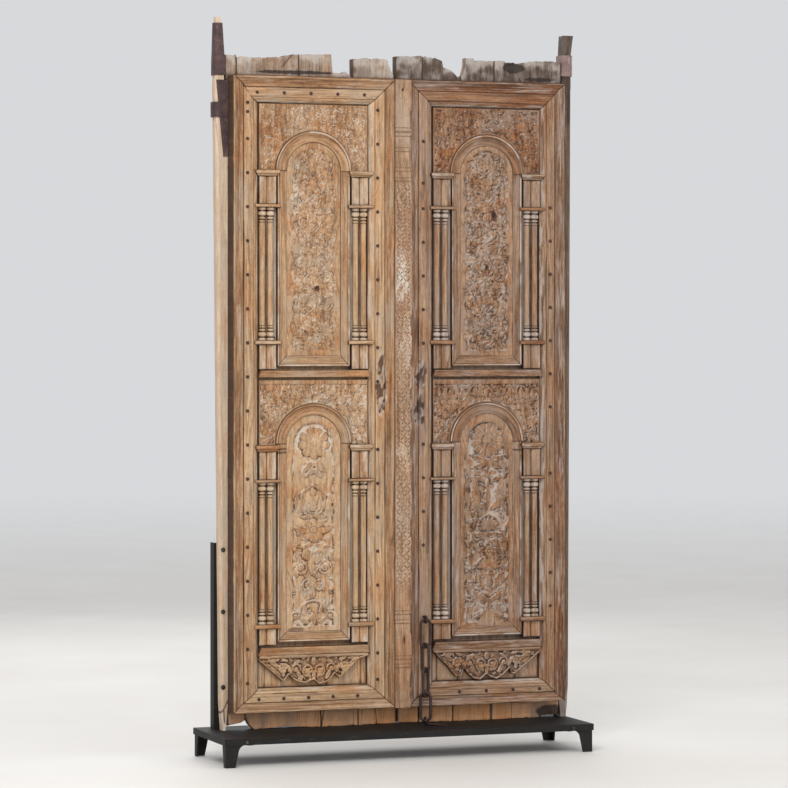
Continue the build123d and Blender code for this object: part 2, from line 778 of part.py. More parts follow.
def rail_bar(leaf, members, z_low, height, level):
    """Level bar across the opening, its ends let over the bevels of the stiles."""
    half = leaf.half + rail_bar_end
    c = leaf.centre
    body = slab(outline([(c - half, z_low), (c + half, z_low),
                         (c + half - height / 3, z_low + height),
                         (c - half + height / 3, z_low + height)]), ground_level, level)
    for member in members:
        body -= member
    return body


def base_rail(leaf, members):
    high = rail_bar(leaf, members, base_rail_z + base_rail_step, base_rail_h - base_rail_step,
                    rail_bar_level)
    low = rail_bar(leaf, members, base_rail_z, base_rail_step, base_rail_step_level)
    return high + low


# Carved relief, as plain raised shapes

def leaf_shape(u, z, angle, length, width):
    """Pointed leaf that grows from a point in one direction."""
    pts = [(0, 0), (0.35 * length, width / 2), (0.7 * length, 0.4 * width), (length, 0),
           (0.7 * length, -0.4 * width), (0.35 * length, -width / 2)]
    return Pos(u, z) * Rot(0, 0, angle) * outline(pts)


def bud_shape(u, z, radius):
    return Pos(u, z) * RegularPolygon(radius, 8)


def rosette(u, z, radius, petals):
    """Ring of petals round a bud."""
    root = 0.34 * radius
    wide = 1.5 * radius / petals * 2
    shapes = [bud_shape(u, z, 0.26 * radius)]
    for k in range(petals):
        angle = 90 + 360 * k / petals
        shapes.append(leaf_shape(u + root * cos(radians(angle)), z + root * sin(radians(angle)),
                                 angle, radius - root, wide))
    return shapes


def fan(u, z, radius, blades):
    """Half rosette that opens upwards."""
    shapes = []
    for k in range(blades):
        angle = 15 + 150 * k / (blades - 1)
        shapes.append(leaf_shape(u + 0.25 * radius * cos(radians(angle)),
                                 z + 0.25 * radius * sin(radians(angle)), angle,
                                 0.75 * radius, 1.6 * radius / blades))
    return shapes


def leaf_pair(u, z, angle, length, width):
    return [leaf_shape(u + 3, z, angle, length, width),
            leaf_shape(u - 3, z, 180 - angle, length, width)]


def volutes(u, z, radius):
    """Two scrolls that turn towards each other and share the wood between them."""
    shapes = []
    for side in (-1, 1):
        eye = Pos(u + side * volute_share * radius, z)
        shapes.append(eye * (Circle(radius) - Circle(0.62 * radius)))
        shapes.append(eye * RegularPolygon(0.3 * radius, 8))
    return shapes


def vine(u, z_low, z_high, rows, spread, width):
    """Stem of leaf pairs with a bud between them, climbing a field."""
    pitch = (z_high - z_low) / rows
    shapes = []
    for k in range(rows):
        z = z_low + (k + 0.3) * pitch
        sway = 6 if k % 2 else -6
        shapes += leaf_pair(u + sway, z, 28, spread, width)
        shapes.append(bud_shape(u + sway, z + 0.42 * pitch, 0.17 * pitch))
        shapes.append(leaf_shape(u - 3 * sway, z + 0.5 * pitch, 70 if sway > 0 else 110,
                                 0.5 * pitch, 0.6 * width))
    return shapes


def carve(body, shapes, level, height):
    """Body with the raised shapes fused on its face."""
    raised = [slab(shape, level - 1, level + height) for shape in shapes]
    return body + raised


def field_body(leaf, order):
    half = arch_inner_r - fit_gap
    shape = arch_outline(leaf.centre, half, half, order.sill_top + fit_gap, order.arch_z)
    return slab(shape, ground_level, field_level)


def upper_field(leaf):
    rows, spread = (13, 56) if leaf is left else (15, 66)
    c = leaf.centre
    low = upper.sill_top + 22
    high = upper.arch_z + 0.2 * arch_inner_r
    shapes = vine(c, low, high, rows, spread, 17)
    shapes += rosette(c, upper.arch_z + 0.5 * arch_inner_r, 26, 8)
    return carve(field_body(leaf, upper), shapes, field_level, relief_h)


def lower_field(leaf):
    c = leaf.centre
    low = lower.sill_top
    crown = lower.arch_z

    def down(share):
        return crown - share * (crown - low)

    if leaf is left:
        shapes = rosette(c + 3, crown, 53, 9)
        shapes += leaf_pair(c + 2, down(0.140), 24, 48, 20)
        shapes += volutes(c, down(0.268), 25)
        shapes += leaf_pair(c, down(0.351), -35, 46, 16)
        shapes += leaf_pair(c, down(0.442), 30, 52, 20)
        shapes += leaf_pair(c, down(0.536), 35, 54, 20)
        shapes += leaf_pair(c, down(0.631), 25, 56, 20)
        shapes += [leaf_shape(c, down(0.777), 90, 50, 18)]
        shapes += volutes(c + 4, down(0.861), 29)
        shapes += leaf_pair(c, low + 22, 20, 62, 18)
    else:
        shapes = rosette(c + 5, crown + 5, 56, 12)
        shapes += leaf_pair(c + 6, down(0.146), 24, 60, 22)
        shapes += leaf_pair(c + 6, down(0.231), 35, 56, 20)
        shapes += volutes(c + 8, down(0.319), 22)
        shapes += fan(c + 9, down(0.426), 30, 7)
        shapes += leaf_pair(c + 9, down(0.488), -20, 52, 18)
        shapes += leaf_pair(c + 10, down(0.572), 30, 54, 18)
        shapes += fan(c + 11, down(0.653), 26, 7)
        shapes += leaf_pair(c + 9, down(0.725), 25, 54, 18)
        shapes += [leaf_shape(c + 8, down(0.878), 90, 56, 20)]
        shapes += leaf_pair(c + 8, low + 70, 10, 60, 18)
        shapes.append(outline([(c - 64, low + 18), (c + 72, low + 18), (c + 44, low + 34),
                               (c + 12, low + 50), (c - 28, low + 38)]))
    return carve(field_body(leaf, lower), shapes, field_level, relief_h)


def spandrel(leaf, order, flower):
    """Panel over an arch, with leaf sprays that follow the arch into both corners."""
    c = leaf.centre
    half = leaf.half - fit_gap
    low = order.top_z + fit_gap
    plain = area(c - half, c + half, low, order.spandrel_top)
    arch = Pos(c, order.arch_z) * Circle(arch_r + fit_gap)
    body = slab(plain - arch, ground_level, spandrel_level)
    shapes = []
    for side in (-1, 1):
        flower_u = c + side * (leaf.half - 45)
        flower_z = order.spandrel_top - 52
        shapes += rosette(flower_u, flower_z, flower, 8)
        corner_z = low + 24
        for k in range(3):
            shapes.append(leaf_shape(c + side * (leaf.half - 14 - 4 * k), corner_z + 30 * k,
                                     90 + side * 35, 30, 12))
        for degree in (58, 76):
            reach = arch_r + 18
            u = c + side * reach * cos(radians(degree))
            z = order.arch_z + reach * sin(radians(degree))
            shapes.append(leaf_shape(u, z, 90 + side * (degree - 50), 30, 13))
    for k in range(-3, 4):
        top = order.spandrel_top - 8 - (0 if order is upper else 10)
        shapes.append(leaf_shape(c + 26 * k, top, 270 + 10 * k, 26, 14))
    return carve(body, shapes, spandrel_level, spandrel_relief_h)


apron_half = [(185.0, 100.6), (183.0, 80.0), (110.0, 15.0), (88.0, 38.0), (66.0, 9.0),
              (38.0, 9.0), (25.0, 0.0), (0.0, 16.0)]


def apron(leaf):
    """Lobed board under the base rail, with leaf scrolls."""
    c = leaf.centre
    scale = (leaf.half - fit_gap) / 189.2
    top = base_rail_z - fit_gap
    foot = apron_foot_z
    right_side = [(c + u * scale, min(foot + z, top)) for u, z in apron_half]
    left_side = [(2 * c - u, z) for u, z in right_side[-2::-1]]
    body = slab(outline(right_side + left_side), ground_level, apron_level)
    shapes = volutes(c, foot + 52, 15)
    for side in (-1, 1):
        turn = 0 if side > 0 else 180
        shapes.append(leaf_shape(c + side * 38, foot + 62, turn + side * 12, 46, 18))
        shapes.append(leaf_shape(c + side * 44, foot + 36, turn - side * 8, 40, 15))
        shapes.append(leaf_shape(c + side * 92, foot + 60, turn + side * 18, 44, 16))
        shapes.append(leaf_shape(c + side * 136, foot + 84, turn - side * 2, 34, 10))
    shapes.append(leaf_shape(c, foot + 62, 90, 28, 16))
    shapes.append(leaf_shape(c, foot + 44, 270, 28, 14))
    return carve(body, shapes, apron_level, spandrel_relief_h)


def astragal():
    """Cover strip over the meeting edges: body between the stiles, wider carved cap."""
    low, high = frame_low, frame_top
    body = slab(area(left.meeting + fit_gap, right.meeting - fit_gap, low, high), fit_gap,
                lip_level + fit_gap)
    centre = cap_off_centre
    cap = slab(area(centre - cap_w / 2, centre + cap_w / 2, low, high), lip_level + fit_gap,
               cap_level - braid_relief)
    shapes = []
    rows = int((high - braid_drop - low - braid_lift) / braid_pitch)
    for k in range(rows):
        z = low + braid_lift + k * braid_pitch
        for side in (-1, 1):
            angle = 90 - side * 42
            shapes.append(leaf_shape(centre + side * 1.5, z, angle, 0.62 * cap_w, 13))
    bands = [low + lift for lift in low_band_lifts] + [high - drop for drop in high_band_drops]
    for z in bands:
        shapes.append(area(centre - cap_w / 2 + 2, centre + cap_w / 2 - 2, z, z + band_h))
    edge_bars = [area(centre + side * (cap_w / 2 - 3), centre + side * cap_w / 2, low, high)
                 for side in (-1, 1)]
    raised = [slab(shape, cap_level - braid_relief - 1, cap_level)
              for shape in shapes + edge_bars]
    return body + cap + raised


# Chain

def stadium_link():
    """Long link from round rod, standing upright, its top rod centred on the origin."""
    bend = (link_w - rod_d) / 2
    straight = link_l - link_w
    ring = Rot(90, 0, 0) * Torus(bend, rod_d / 2)
    half_box = Box(2 * link_w, 2 * rod_d, link_w, align=(Align.CENTER, Align.CENTER, Align.MIN))
    top = ring & half_box
    legs = [Pos(side * bend, 0, 0) * Cylinder(rod_d / 2, straight,
                                             align=(Align.CENTER, Align.CENTER, Align.MAX))
            for side in (-1, 1)]
    foot = Pos(0, 0, -straight) * Rot(0, 180, 0) * top
    return Pos(0, 0, -bend) * (top + legs + foot)


def chain_x():
    return door_x + chain_u


def chain_y():
    return board_y - lip_level - chain_stand_off


def link_tops():
    """Height of each link's top rod centre, from the staple down."""
    pitch = link_l - 2 * rod_d - link_slack
    hook_centre = stand_h + hook_lift + hook_eye_r + hook_eye_rod_d / 2
    last = hook_centre + link_l - rod_d
    return [last + (len(link_yaws) - 1 - k) * pitch for k in range(len(link_yaws))]


def chain_link(k):
    return Pos(chain_x(), chain_y(), link_tops()[k]) * Rot(0, 0, link_yaws[k]) * stadium_link()


def staple():
    """Eye of round rod with two legs that are driven into the inner stile."""
    r = staple_rod_d / 2
    eye_z = staple_eye_z()
    eye = Pos(chain_x(), chain_y(), eye_z) * Rot(0, 90, 0) * Torus(staple_eye_r, r)
    legs = [Pos(chain_x(), chain_y() + side_y, eye_z + side_z) * Rot(-90, 0, 0)
            * Cylinder(r, length, align=(Align.CENTER, Align.CENTER, Align.MIN))
            for side_y, side_z, length in staple_legs()]
    return eye + legs


def staple_legs():
    """How far each leg lies behind and above the eye's centre, and its length."""
    deep = staple_leg_l + chain_stand_off
    reach = 0.7 * staple_eye_r
    return [(reach, reach, deep), (reach, -reach, deep)]


def staple_eye_z():
    return link_tops()[0] - rod_d / 2 - staple_rod_d / 2 - link_slack + staple_eye_r


def staple_bore():
    """Holes in the stile for the staple's legs."""
    r = staple_rod_d / 2 + nail_fit
    eye_z = staple_eye_z()
    return [Pos(chain_x(), chain_y() + side_y, eye_z + side_z) * Rot(-90, 0, 0)
            * Cylinder(r, length + nail_fit, align=(Align.CENTER, Align.CENTER, Align.MIN))
            for side_y, side_z, length in staple_legs()]


def chain_hook():
    """Peg with an eye on the last link: the eye stands on the plate and the peg lies on it."""
    centre_z = link_tops()[-1] - (link_l - rod_d)
    eye = Rot(0, 0, hook_eye_heading) * Rot(90, 0, 0) * Torus(hook_eye_r, hook_eye_rod_d / 2)
    low = -hook_eye_r - hook_eye_rod_d / 2
    start = Vector(0, 0, low + hook_root_d / 2)
    heading = Vector(cos(radians(hook_heading)), sin(radians(hook_heading)), 0)
    end_drop = (hook_root_d - hook_tip_d) / 2
    direction = (heading * hook_l - Vector(0, 0, end_drop)).normalized()
    frame = Plane(origin=start + heading * (0.5 * hook_eye_r), x_dir=(0, 0, 1),
                  z_dir=(direction.X, direction.Y, direction.Z))
    peg = loft([frame * Circle(hook_root_d / 2),
                frame * Pos(0, 0, hook_l - 0.5 * hook_eye_r) * Circle(hook_tip_d / 2)])
    return Pos(chain_x(), chain_y(), centre_z) * (eye + peg)


def main():
    nodes = {"stand_plate": stand_plate()}
    for end_y, depth in ((-1, "front"), (1, "back")):
        for end_x, hand in ((-1, "left"), (1, "right")):
            nodes["stand_foot_" + depth + "_" + hand] = bracket_foot(end_x, end_y)
    nodes["stand_upright_left"] = upright(left)
    nodes["stand_upright_right"] = upright(right)
    nodes["stand_bolts"] = stand_bolts()

    nodes["left_post"] = post(left, left_head)
    nodes["right_post"] = post(right, right_head)
    nodes["left_post_sheath"] = sheath(left, left_head)
    nodes["right_post_sheath"] = sheath(right, right_head)
    nodes["left_post_strap"] = left_strap()

    for leaf, hand, boards, rows in ((left, "left_", left_planks, left_rows),
                                     (right, "right_", right_planks, right_rows)):
        places = nail_places(leaf, rows)
        outer_stile = stile(leaf.edge, leaf.outer, places["outer"])
        inner_stile = stile(leaf.meeting, leaf.inner, places["inner"])
        arches = [surround(leaf, upper, hand + "upper_surround"),
                  surround(leaf, lower, hand + "lower_surround")]
        members = [outer_stile, inner_stile]
        nodes[hand + "planks"] = planks(leaf, boards, hand + "planks")
        nodes[hand + "battens"] = ledges(leaf, hand + "battens")
        nodes[hand + "stile_outer"] = outer_stile
        nodes[hand + "stile_inner"] = inner_stile
        nodes[hand + "top_rail"] = rail(leaf, frame_top, opening_top, places.get("top", ()))
        nodes[hand + "bottom_rail"] = rail(leaf, frame_low, opening_low, places["foot"])
        nodes[hand + "ground"] = ground(leaf)
        nodes[hand + "upper_spandrel"] = spandrel(leaf, upper, 24)
        nodes[hand + "lower_spandrel"] = spandrel(leaf, lower, 30)
        nodes[hand + "upper_surround"] = arches[0]
        nodes[hand + "lower_surround"] = arches[1]
        nodes[hand + "upper_field"] = upper_field(leaf)
        nodes[hand + "lower_field"] = lower_field(leaf)
        nodes[hand + "colonettes"] = colonettes(leaf, hand + "colonettes")
        nodes[hand + "pilaster_blocks"] = blocks(leaf, hand + "pilaster_blocks")
        nodes[hand + "cornices"] = cornices(leaf, members, arches, hand + "cornices")
        nodes[hand + "mid_rail"] = rail_bar(leaf, members, mid_rail_z, mid_rail_h,
                                            rail_bar_level)
        nodes[hand + "base_rail"] = base_rail(leaf, members)
        nodes[hand + "apron"] = apron(leaf)
        nodes[hand + "nails"] = nails(places, hand + "nails")
    for bore in staple_bore():
        nodes["right_stile_inner"] -= bore
    nodes["astragal"] = astragal()
    nodes["chain_staple"] = staple()
    for k in range(len(link_yaws)):
        nodes["chain_link_" + str(k + 1)] = chain_link(k)
    nodes["chain_hook"] = chain_hook()

    os.makedirs("parts", exist_ok=True)
    for name, shape in nodes.items():
        export_step(shape, os.path.join("parts", name + ".step"))
        print(name, len(shape.solids()), "solids")


main()
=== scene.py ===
import bpy
import numpy as np
from math import atan2, ceil, cos, hypot, pi, radians, sin
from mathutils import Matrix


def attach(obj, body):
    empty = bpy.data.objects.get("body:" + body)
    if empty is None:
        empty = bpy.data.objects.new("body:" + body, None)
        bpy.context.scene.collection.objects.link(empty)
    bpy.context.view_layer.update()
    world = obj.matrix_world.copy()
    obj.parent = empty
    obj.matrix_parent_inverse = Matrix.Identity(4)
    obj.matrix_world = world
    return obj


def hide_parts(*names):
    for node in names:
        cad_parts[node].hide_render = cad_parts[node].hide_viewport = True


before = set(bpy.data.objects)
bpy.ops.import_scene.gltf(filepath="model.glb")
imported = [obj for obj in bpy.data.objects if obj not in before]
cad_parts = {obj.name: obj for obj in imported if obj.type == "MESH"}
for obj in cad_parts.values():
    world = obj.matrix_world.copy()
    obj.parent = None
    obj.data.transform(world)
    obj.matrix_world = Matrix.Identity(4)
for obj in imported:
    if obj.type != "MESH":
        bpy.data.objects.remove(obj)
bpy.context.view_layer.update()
print("frame loaded", len(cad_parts), "nodes")

# all sizes in mm; u runs across the door from its centre line, a level is the height before the planks;
# gap = play between neighbours, rear = level where the pieces on the ground boards end behind,
# and the least darkening at the foot of every wall of a sheet, dirt with painted shade down in the gap
door = dict(centreX=8.425, boardY=52.8, low=152.5, top=2232.5, openLow=230.5, openTop=2144.0,
            standTop=92.6, gap=0.3, rear=20.2, footDirtAndShade=0.5)
leftLeaf = dict(side=-1, meeting=-15.0, inner=-109.1, outer=-488.2, edge=-582.1)
rightLeaf = dict(side=1, meeting=26.0, inner=119.9, outer=505.6, edge=589.3)
for leaf in (leftLeaf, rightLeaf):
    leaf["centre"] = (leaf["inner"] + leaf["outer"]) / 2
    leaf["half"] = abs(leaf["outer"] - leaf["inner"]) / 2
upperOrder = dict(place="upper", base=1272.6, lowBar=1354.4, shaft=1367.4, topBar=1803.2, block=1814.2,
                  cornice=1905.6, top=1925.9, arch=1924.1, sill=1282.5, sillTop=1318.0,
                  spandrelTop=2143.7)
lowerOrder = dict(place="lower", base=370.7, lowBar=424.7, shaft=438.6, topBar=902.7, block=912.1,
                  cornice=1003.3, top=1025.2, arch=1028.5, sill=380.3, sillTop=413.2,
                  spandrelTop=1239.3)


# random fields that come out the same each time

def cellNoise(x, y, seed):
    xi, yi = np.floor(x).astype(np.int64), np.floor(y).astype(np.int64)
    fx, fy = x - xi, y - yi
    fx, fy = fx * fx * (3 - 2 * fx), fy * fy * (3 - 2 * fy)

    def corner(i, j):
        n = (i * 374761393 + j * 668265263 + seed * 144269504) & 0xffffffff
        n = ((n ^ (n >> 13)) * 1274126177) & 0xffffffff
        return ((n ^ (n >> 16)) & 0xffff) / 65535.0

    low = corner(xi, yi) * (1 - fx) + corner(xi + 1, yi) * fx
    high = corner(xi, yi + 1) * (1 - fx) + corner(xi + 1, yi + 1) * fx
    return low * (1 - fy) + high * fy


def clouds(x, y, across, along, seed, octaves=3):
    total, weight, size = 0.0, 0.0, 1.0
    for k in range(octaves):
        total = total + cellNoise(x * size / across, y * size / along, seed + 17 * k) / size
        weight += 1 / size
        size *= 2.1
    return total / weight


def ease(x, low, high):
    t = np.clip((x - low) / (high - low), 0, 1)
    return t * t * (3 - 2 * t)


def bell(x, place, reach):
    return np.exp(-((x - place) / reach) ** 2)


def triple(*parts):
    # three values at each point
    return np.stack(np.broadcast_arrays(*parts), axis=-1)


def blur(field, reach):
    # each pass smooths along one axis and turns the field over
    wide = 2 * reach + 1
    for _ in range(4):
        sums = np.cumsum(np.pad(field, [(reach + 1, reach), (0, 0)], mode="edge"), axis=0)
        field = ((sums[wide:] - sums[:-wide]) / wide).T
    return field


def splits(u, z, cracks):
    # 1 along the lines between pairs of points, fading to both sides
    near = np.zeros_like(u)
    for (u0, z0), (u1, z1) in cracks:
        wide, high = u1 - u0, z1 - z0
        run = np.clip(((u - u0) * wide + (z - z0) * high) / hypot(wide, high) ** 2, 0, 1)
        near = np.maximum(near, bell(np.hypot(u - u0 - run * wide, z - z0 - run * high), 0, 2.2))
    return near


# meshes

class Work:
    # gathers sheets and turned parts into one mesh, with what its finish reads at each point:
    # grain = mm across, mm along, seed; wear = lime, dirt with painted shade, rub; tone = shade, warmth,
    # stain

    def __init__(self):
        self.points, self.faces, self.notes = [], [], []
        self.count = 0

    def patch(self, places, grain, wear, tone, flip=False, closed=False, keep=None):
        n, m = places.shape[:2]
        index = np.arange(n * m).reshape(n, m) + self.count
        if closed:
            index = np.concatenate([index, index[:, :1]], axis=1)
        corners = [index[:-1, :-1], index[1:, :-1], index[1:, 1:], index[:-1, 1:]]
        quads = np.stack(corners[::-1] if flip else corners, axis=-1).reshape(-1, 4)
        notes = [np.broadcast_to(part, (n, m, 3)) for part in (grain, wear, tone)]
        self.points.append(places.reshape(-1, 3))
        self.notes.append(np.concatenate(notes, axis=-1).reshape(-1, 9))
        self.faces.append(quads if keep is None else quads[keep.reshape(-1)])
        self.count += n * m

    def sheet(self, u, z, level, grain, wear, tone, base=None, keep=None):
        # a height field, with walls down to its base where it has one
        places = np.stack([door["centreX"] + u, door["boardY"] - level, z], axis=-1)
        turned = ((u[1:, :-1] - u[:-1, :-1]) * (z[:-1, 1:] - z[:-1, :-1])
                  - (z[1:, :-1] - z[:-1, :-1]) * (u[:-1, 1:] - u[:-1, :-1])).sum() < 0
        self.patch(places, grain, wear, tone, turned, keep=keep)
        if base is None:
            return
        full = [np.broadcast_to(part, u.shape + (3,)) for part in (grain, wear, tone)]
        for rim, reverse in ((np.s_[:, 0], False), (np.s_[-1, :], False), (np.s_[:, -1], True),
                             (np.s_[0, :], True)):
            edge = places[rim]
            foot = edge.copy()
            foot[:, 1] = door["boardY"] - base
            sides = [np.stack([part[rim]] * 2, axis=1) for part in full]
            # the foot of each wall gets at least this much darkening: dirt with painted shade down in
            # the gap
            sides[1][:, 0, 1] = np.maximum(sides[1][:, 0, 1], door["footDirtAndShade"])
            self.patch(np.stack([foot, edge], axis=1), *sides, flip=reverse != turned,
                       keep=None if keep is None else keep[rim][:, None])

    def build(self, name, finish, body="door", sharp=38):
        # the piece carries the name of the CAD node whose place it takes
        nodes = [name]
        points, faces, notes = [np.concatenate(part) for part in (self.points, self.faces, self.notes)]
        mesh = bpy.data.meshes.new(name)
        mesh.vertices.add(len(points))
        mesh.vertices.foreach_set("co", (points / 1000).astype(np.float32).ravel())
        mesh.loops.add(faces.size)
        mesh.loops.foreach_set("vertex_index", faces.astype(np.int32).ravel())
        mesh.polygons.add(len(faces))
        mesh.polygons.foreach_set("loop_start", np.arange(0, faces.size, 4, dtype=np.int32))
        mesh.update(calc_edges=True)
        for k, key in enumerate(("grain", "wear", "tone")):
            held = mesh.attributes.new(key, "FLOAT_VECTOR", "POINT")
            held.data.foreach_set("vector", notes[:, 3 * k:3 * k + 3].astype(np.float32).ravel())
        mesh.shade_smooth()
        mesh.set_sharp_from_angle(angle=radians(sharp))
        mesh.materials.append(finish)
        made = bpy.data.objects.new(name, mesh)
        bpy.context.scene.collection.objects.link(made)
        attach(made, body)
        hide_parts(*nodes)
        print(name, 2 * len(faces), "triangles")


def steps(length, pitch, rim=(0.0, 0.8, 2.2, 4.5)):
    # places along a side: close together near both ends, even between them
    if length < 4 * rim[-1]:
        return np.linspace(0, 1, max(3, int(ceil(length / 1.6))))
    middle = np.linspace(rim[-1], length - rim[-1], max(2, int((length - 2 * rim[-1]) / pitch) + 1))
    return np.concatenate([rim[:-1], middle, [length - r for r in rim[-2::-1]]]) / length


class Bar:
    # a piece of wood with four corners: "across" is its width, "along" its grain

    def __init__(self, corners, seed, pitch=(6, 6), shares=None):
        (self.a, self.b, self.c, self.d) = [np.array(c, float) for c in corners]
        self.width = hypot(*(self.b - self.a))
        self.length = (hypot(*(self.d - self.a)) + hypot(*(self.c - self.b))) / 2
        across = steps(self.width, pitch[0]) if shares is None else np.array(shares)
        self.s, self.t = np.meshgrid(across, steps(self.length, pitch[1]), indexing="ij")
        s, t = self.s[..., None], self.t[..., None]
        flat = ((1 - s) * (1 - t) * self.a + s * (1 - t) * self.b + s * t * self.c
                + (1 - s) * t * self.d)
        self.u, self.z = flat[..., 0], flat[..., 1]
        self.seed = seed
        self.x, self.y = self.s * self.width, self.t * self.length
        self.rimX = np.minimum(self.x, self.width - self.x)
        self.rimY = np.minimum(self.y, self.length - self.y)
        self.level = np.zeros_like(self.u)

    def cloud(self, across, along, turn=0, octaves=3):
        return clouds(self.x, self.y, across, along, self.seed + turn, octaves)

    def shape(self, level, roundness=1.6, wobble=0.5, chips=1.0):
        # face level, worn edges and a slightly uneven surface
        r = roundness * (0.5 + 1.1 * self.cloud(9, 34))
        gone = 0
        for rim in (self.rimX, self.rimY):
            gone = gone + r * (1 - np.sqrt(np.clip(1 - (1 - np.clip(rim / r, 0, 1)) ** 2, 0, 1)))
        near = np.minimum(self.rimX, self.rimY)
        bite = ease(self.cloud(14, 22, 5, 2), 0.70, 0.85) * ease(near, 7, 0)
        swell = wobble * (self.cloud(30, 120, 9, 2) - 0.5) * ease(near, 0, 6)
        self.level = level - gone - chips * 2.6 * bite + swell

    def dress(self, work, lime=0.0, dirtAndShade=0.0, rub=0.0, shade=0.0, warmth=0.0, stain=0.0,
              rimDirtAndShade=0.95, seam=1.7, base=door["rear"]):
        # adds the bar to a mesh, with dirt and painted shade along its rim where it meets its neighbours
        grimeAndShade = rimDirtAndShade * bell(np.minimum(self.rimX, self.rimY), 0, seam)
        grain = triple(self.x + 7.3 * self.seed, self.y + 31.7 * self.seed, 3.1 * self.seed)
        work.sheet(self.u, self.z, self.level, grain, triple(lime, np.clip(grimeAndShade + dirtAndShade, 0, 1), rub),
                   triple(shade, warmth, stain), base=base)


def box(uLow, uHigh, zLow, zHigh, upright=True):
    # corners of a plain piece whose grain runs up, or across
    if upright:
        return (uLow, zLow), (uHigh, zLow), (uHigh, zHigh), (uLow, zHigh)
    return (uLow, zLow), (uLow, zHigh), (uHigh, zHigh), (uHigh, zLow)


# materials

class Flow:
    # a socket that can be used in sums: each operator adds its own Math node

    def __init__(self, finish, socket):
        self.finish, self.socket = finish, socket

    def math(self, operation, *others):
        return self.finish.node("ShaderNodeMath", dict(operation=operation),
                                dict(enumerate((self, *others))))

    def __add__(self, other):
        return self.math("ADD", other)

    __radd__ = __add__

    def __sub__(self, other):
        return self.math("SUBTRACT", other)

    def __rsub__(self, other):
        return self.finish.node("ShaderNodeMath", dict(operation="SUBTRACT"), {0: other, 1: self})

    def __mul__(self, other):
        return self.math("MULTIPLY", other)

    __rmul__ = __mul__

    def __pow__(self, other):
        return self.math("POWER", other)

    def least(self, other):
        return self.math("MINIMUM", other)

    def wave(self):
        return self.math("SINE")

    def fit(self, low, high):
        # 0 below low, 1 above high, smooth between
        return self.finish.node("ShaderNodeMapRange", dict(interpolation_type="SMOOTHSTEP"),
                                {"Value": self, "From Min": low, "From Max": high})


class Finish:
    def __init__(self, name):
        self.material = bpy.data.materials.new(name)
        self.material.use_nodes = True
        self.tree = self.material.node_tree
        self.tree.nodes.clear()
        self.out = self.tree.nodes.new("ShaderNodeOutputMaterial")

    def node(self, kind, settings=None, values=None, output=0):
        made = self.tree.nodes.new(kind)
        for key, value in (settings or {}).items():
            if key == "stops":
                ramp = made.color_ramp.elements
                while len(ramp) < len(value):
                    ramp.new(1.0)
                for stop, (place, *colour) in zip(ramp, value):
                    stop.position, stop.color = place, (*rgb(*colour), 1)
            else:
                setattr(made, key, value)
        for key, value in (values or {}).items():
            held = made.inputs[key]
            if isinstance(value, Flow):
                self.tree.links.new(value.socket, held)
            elif isinstance(held.default_value, float):
                held.default_value = value
            else:
                held.default_value = (*value, 1)[:len(held.default_value)]
        return Flow(self, made.outputs[output])

    def read(self, name):
        return self.node("ShaderNodeAttribute", dict(attribute_name=name), output="Vector")

    def split(self, vector):
        return [self.node("ShaderNodeSeparateXYZ", values={0: vector}, output=k) for k in range(3)]

    def stretch(self, vector, scale):
        return self.node("ShaderNodeVectorMath", dict(operation="MULTIPLY"), {0: vector, 1: scale})

    def noise(self, vector, detail=3.0, rough=0.55, scale=1.0):
        return self.node("ShaderNodeTexNoise", values={"Vector": vector, "Scale": scale,
                                                       "Detail": detail, "Roughness": rough})

    def ramp(self, value, stops):
        return self.node("ShaderNodeValToRGB", dict(stops=stops), {"Fac": value})

    def mix(self, first, second, share, how="MIX"):
        return self.node("ShaderNodeMix", dict(data_type="RGBA", blend_type=how),
                         {0: share, 6: first, 7: rgb(*second)}, output=2)

    def close(self, colour, roughness, height, depth, metallic=0.0, **extra):
        bump = self.node("ShaderNodeBump", values={"Height": height, "Distance": depth,
                                                   "Strength": 1.0}, output="Normal")
        shader = self.node("ShaderNodeBsdfPrincipled", values={
            "Base Color": colour, "Roughness": roughness, "Metallic": metallic, "Normal": bump,
            **extra})
        self.tree.links.new(shader.socket, self.out.inputs["Surface"])
        return self.material

def rgb(red, green, blue):
    # a colour as it looks on screen, 0 to 255
    return tuple(((c / 255 + 0.055) / 1.055) ** 2.4 if c > 10 else c / 3294.6
                 for c in (red, green, blue))


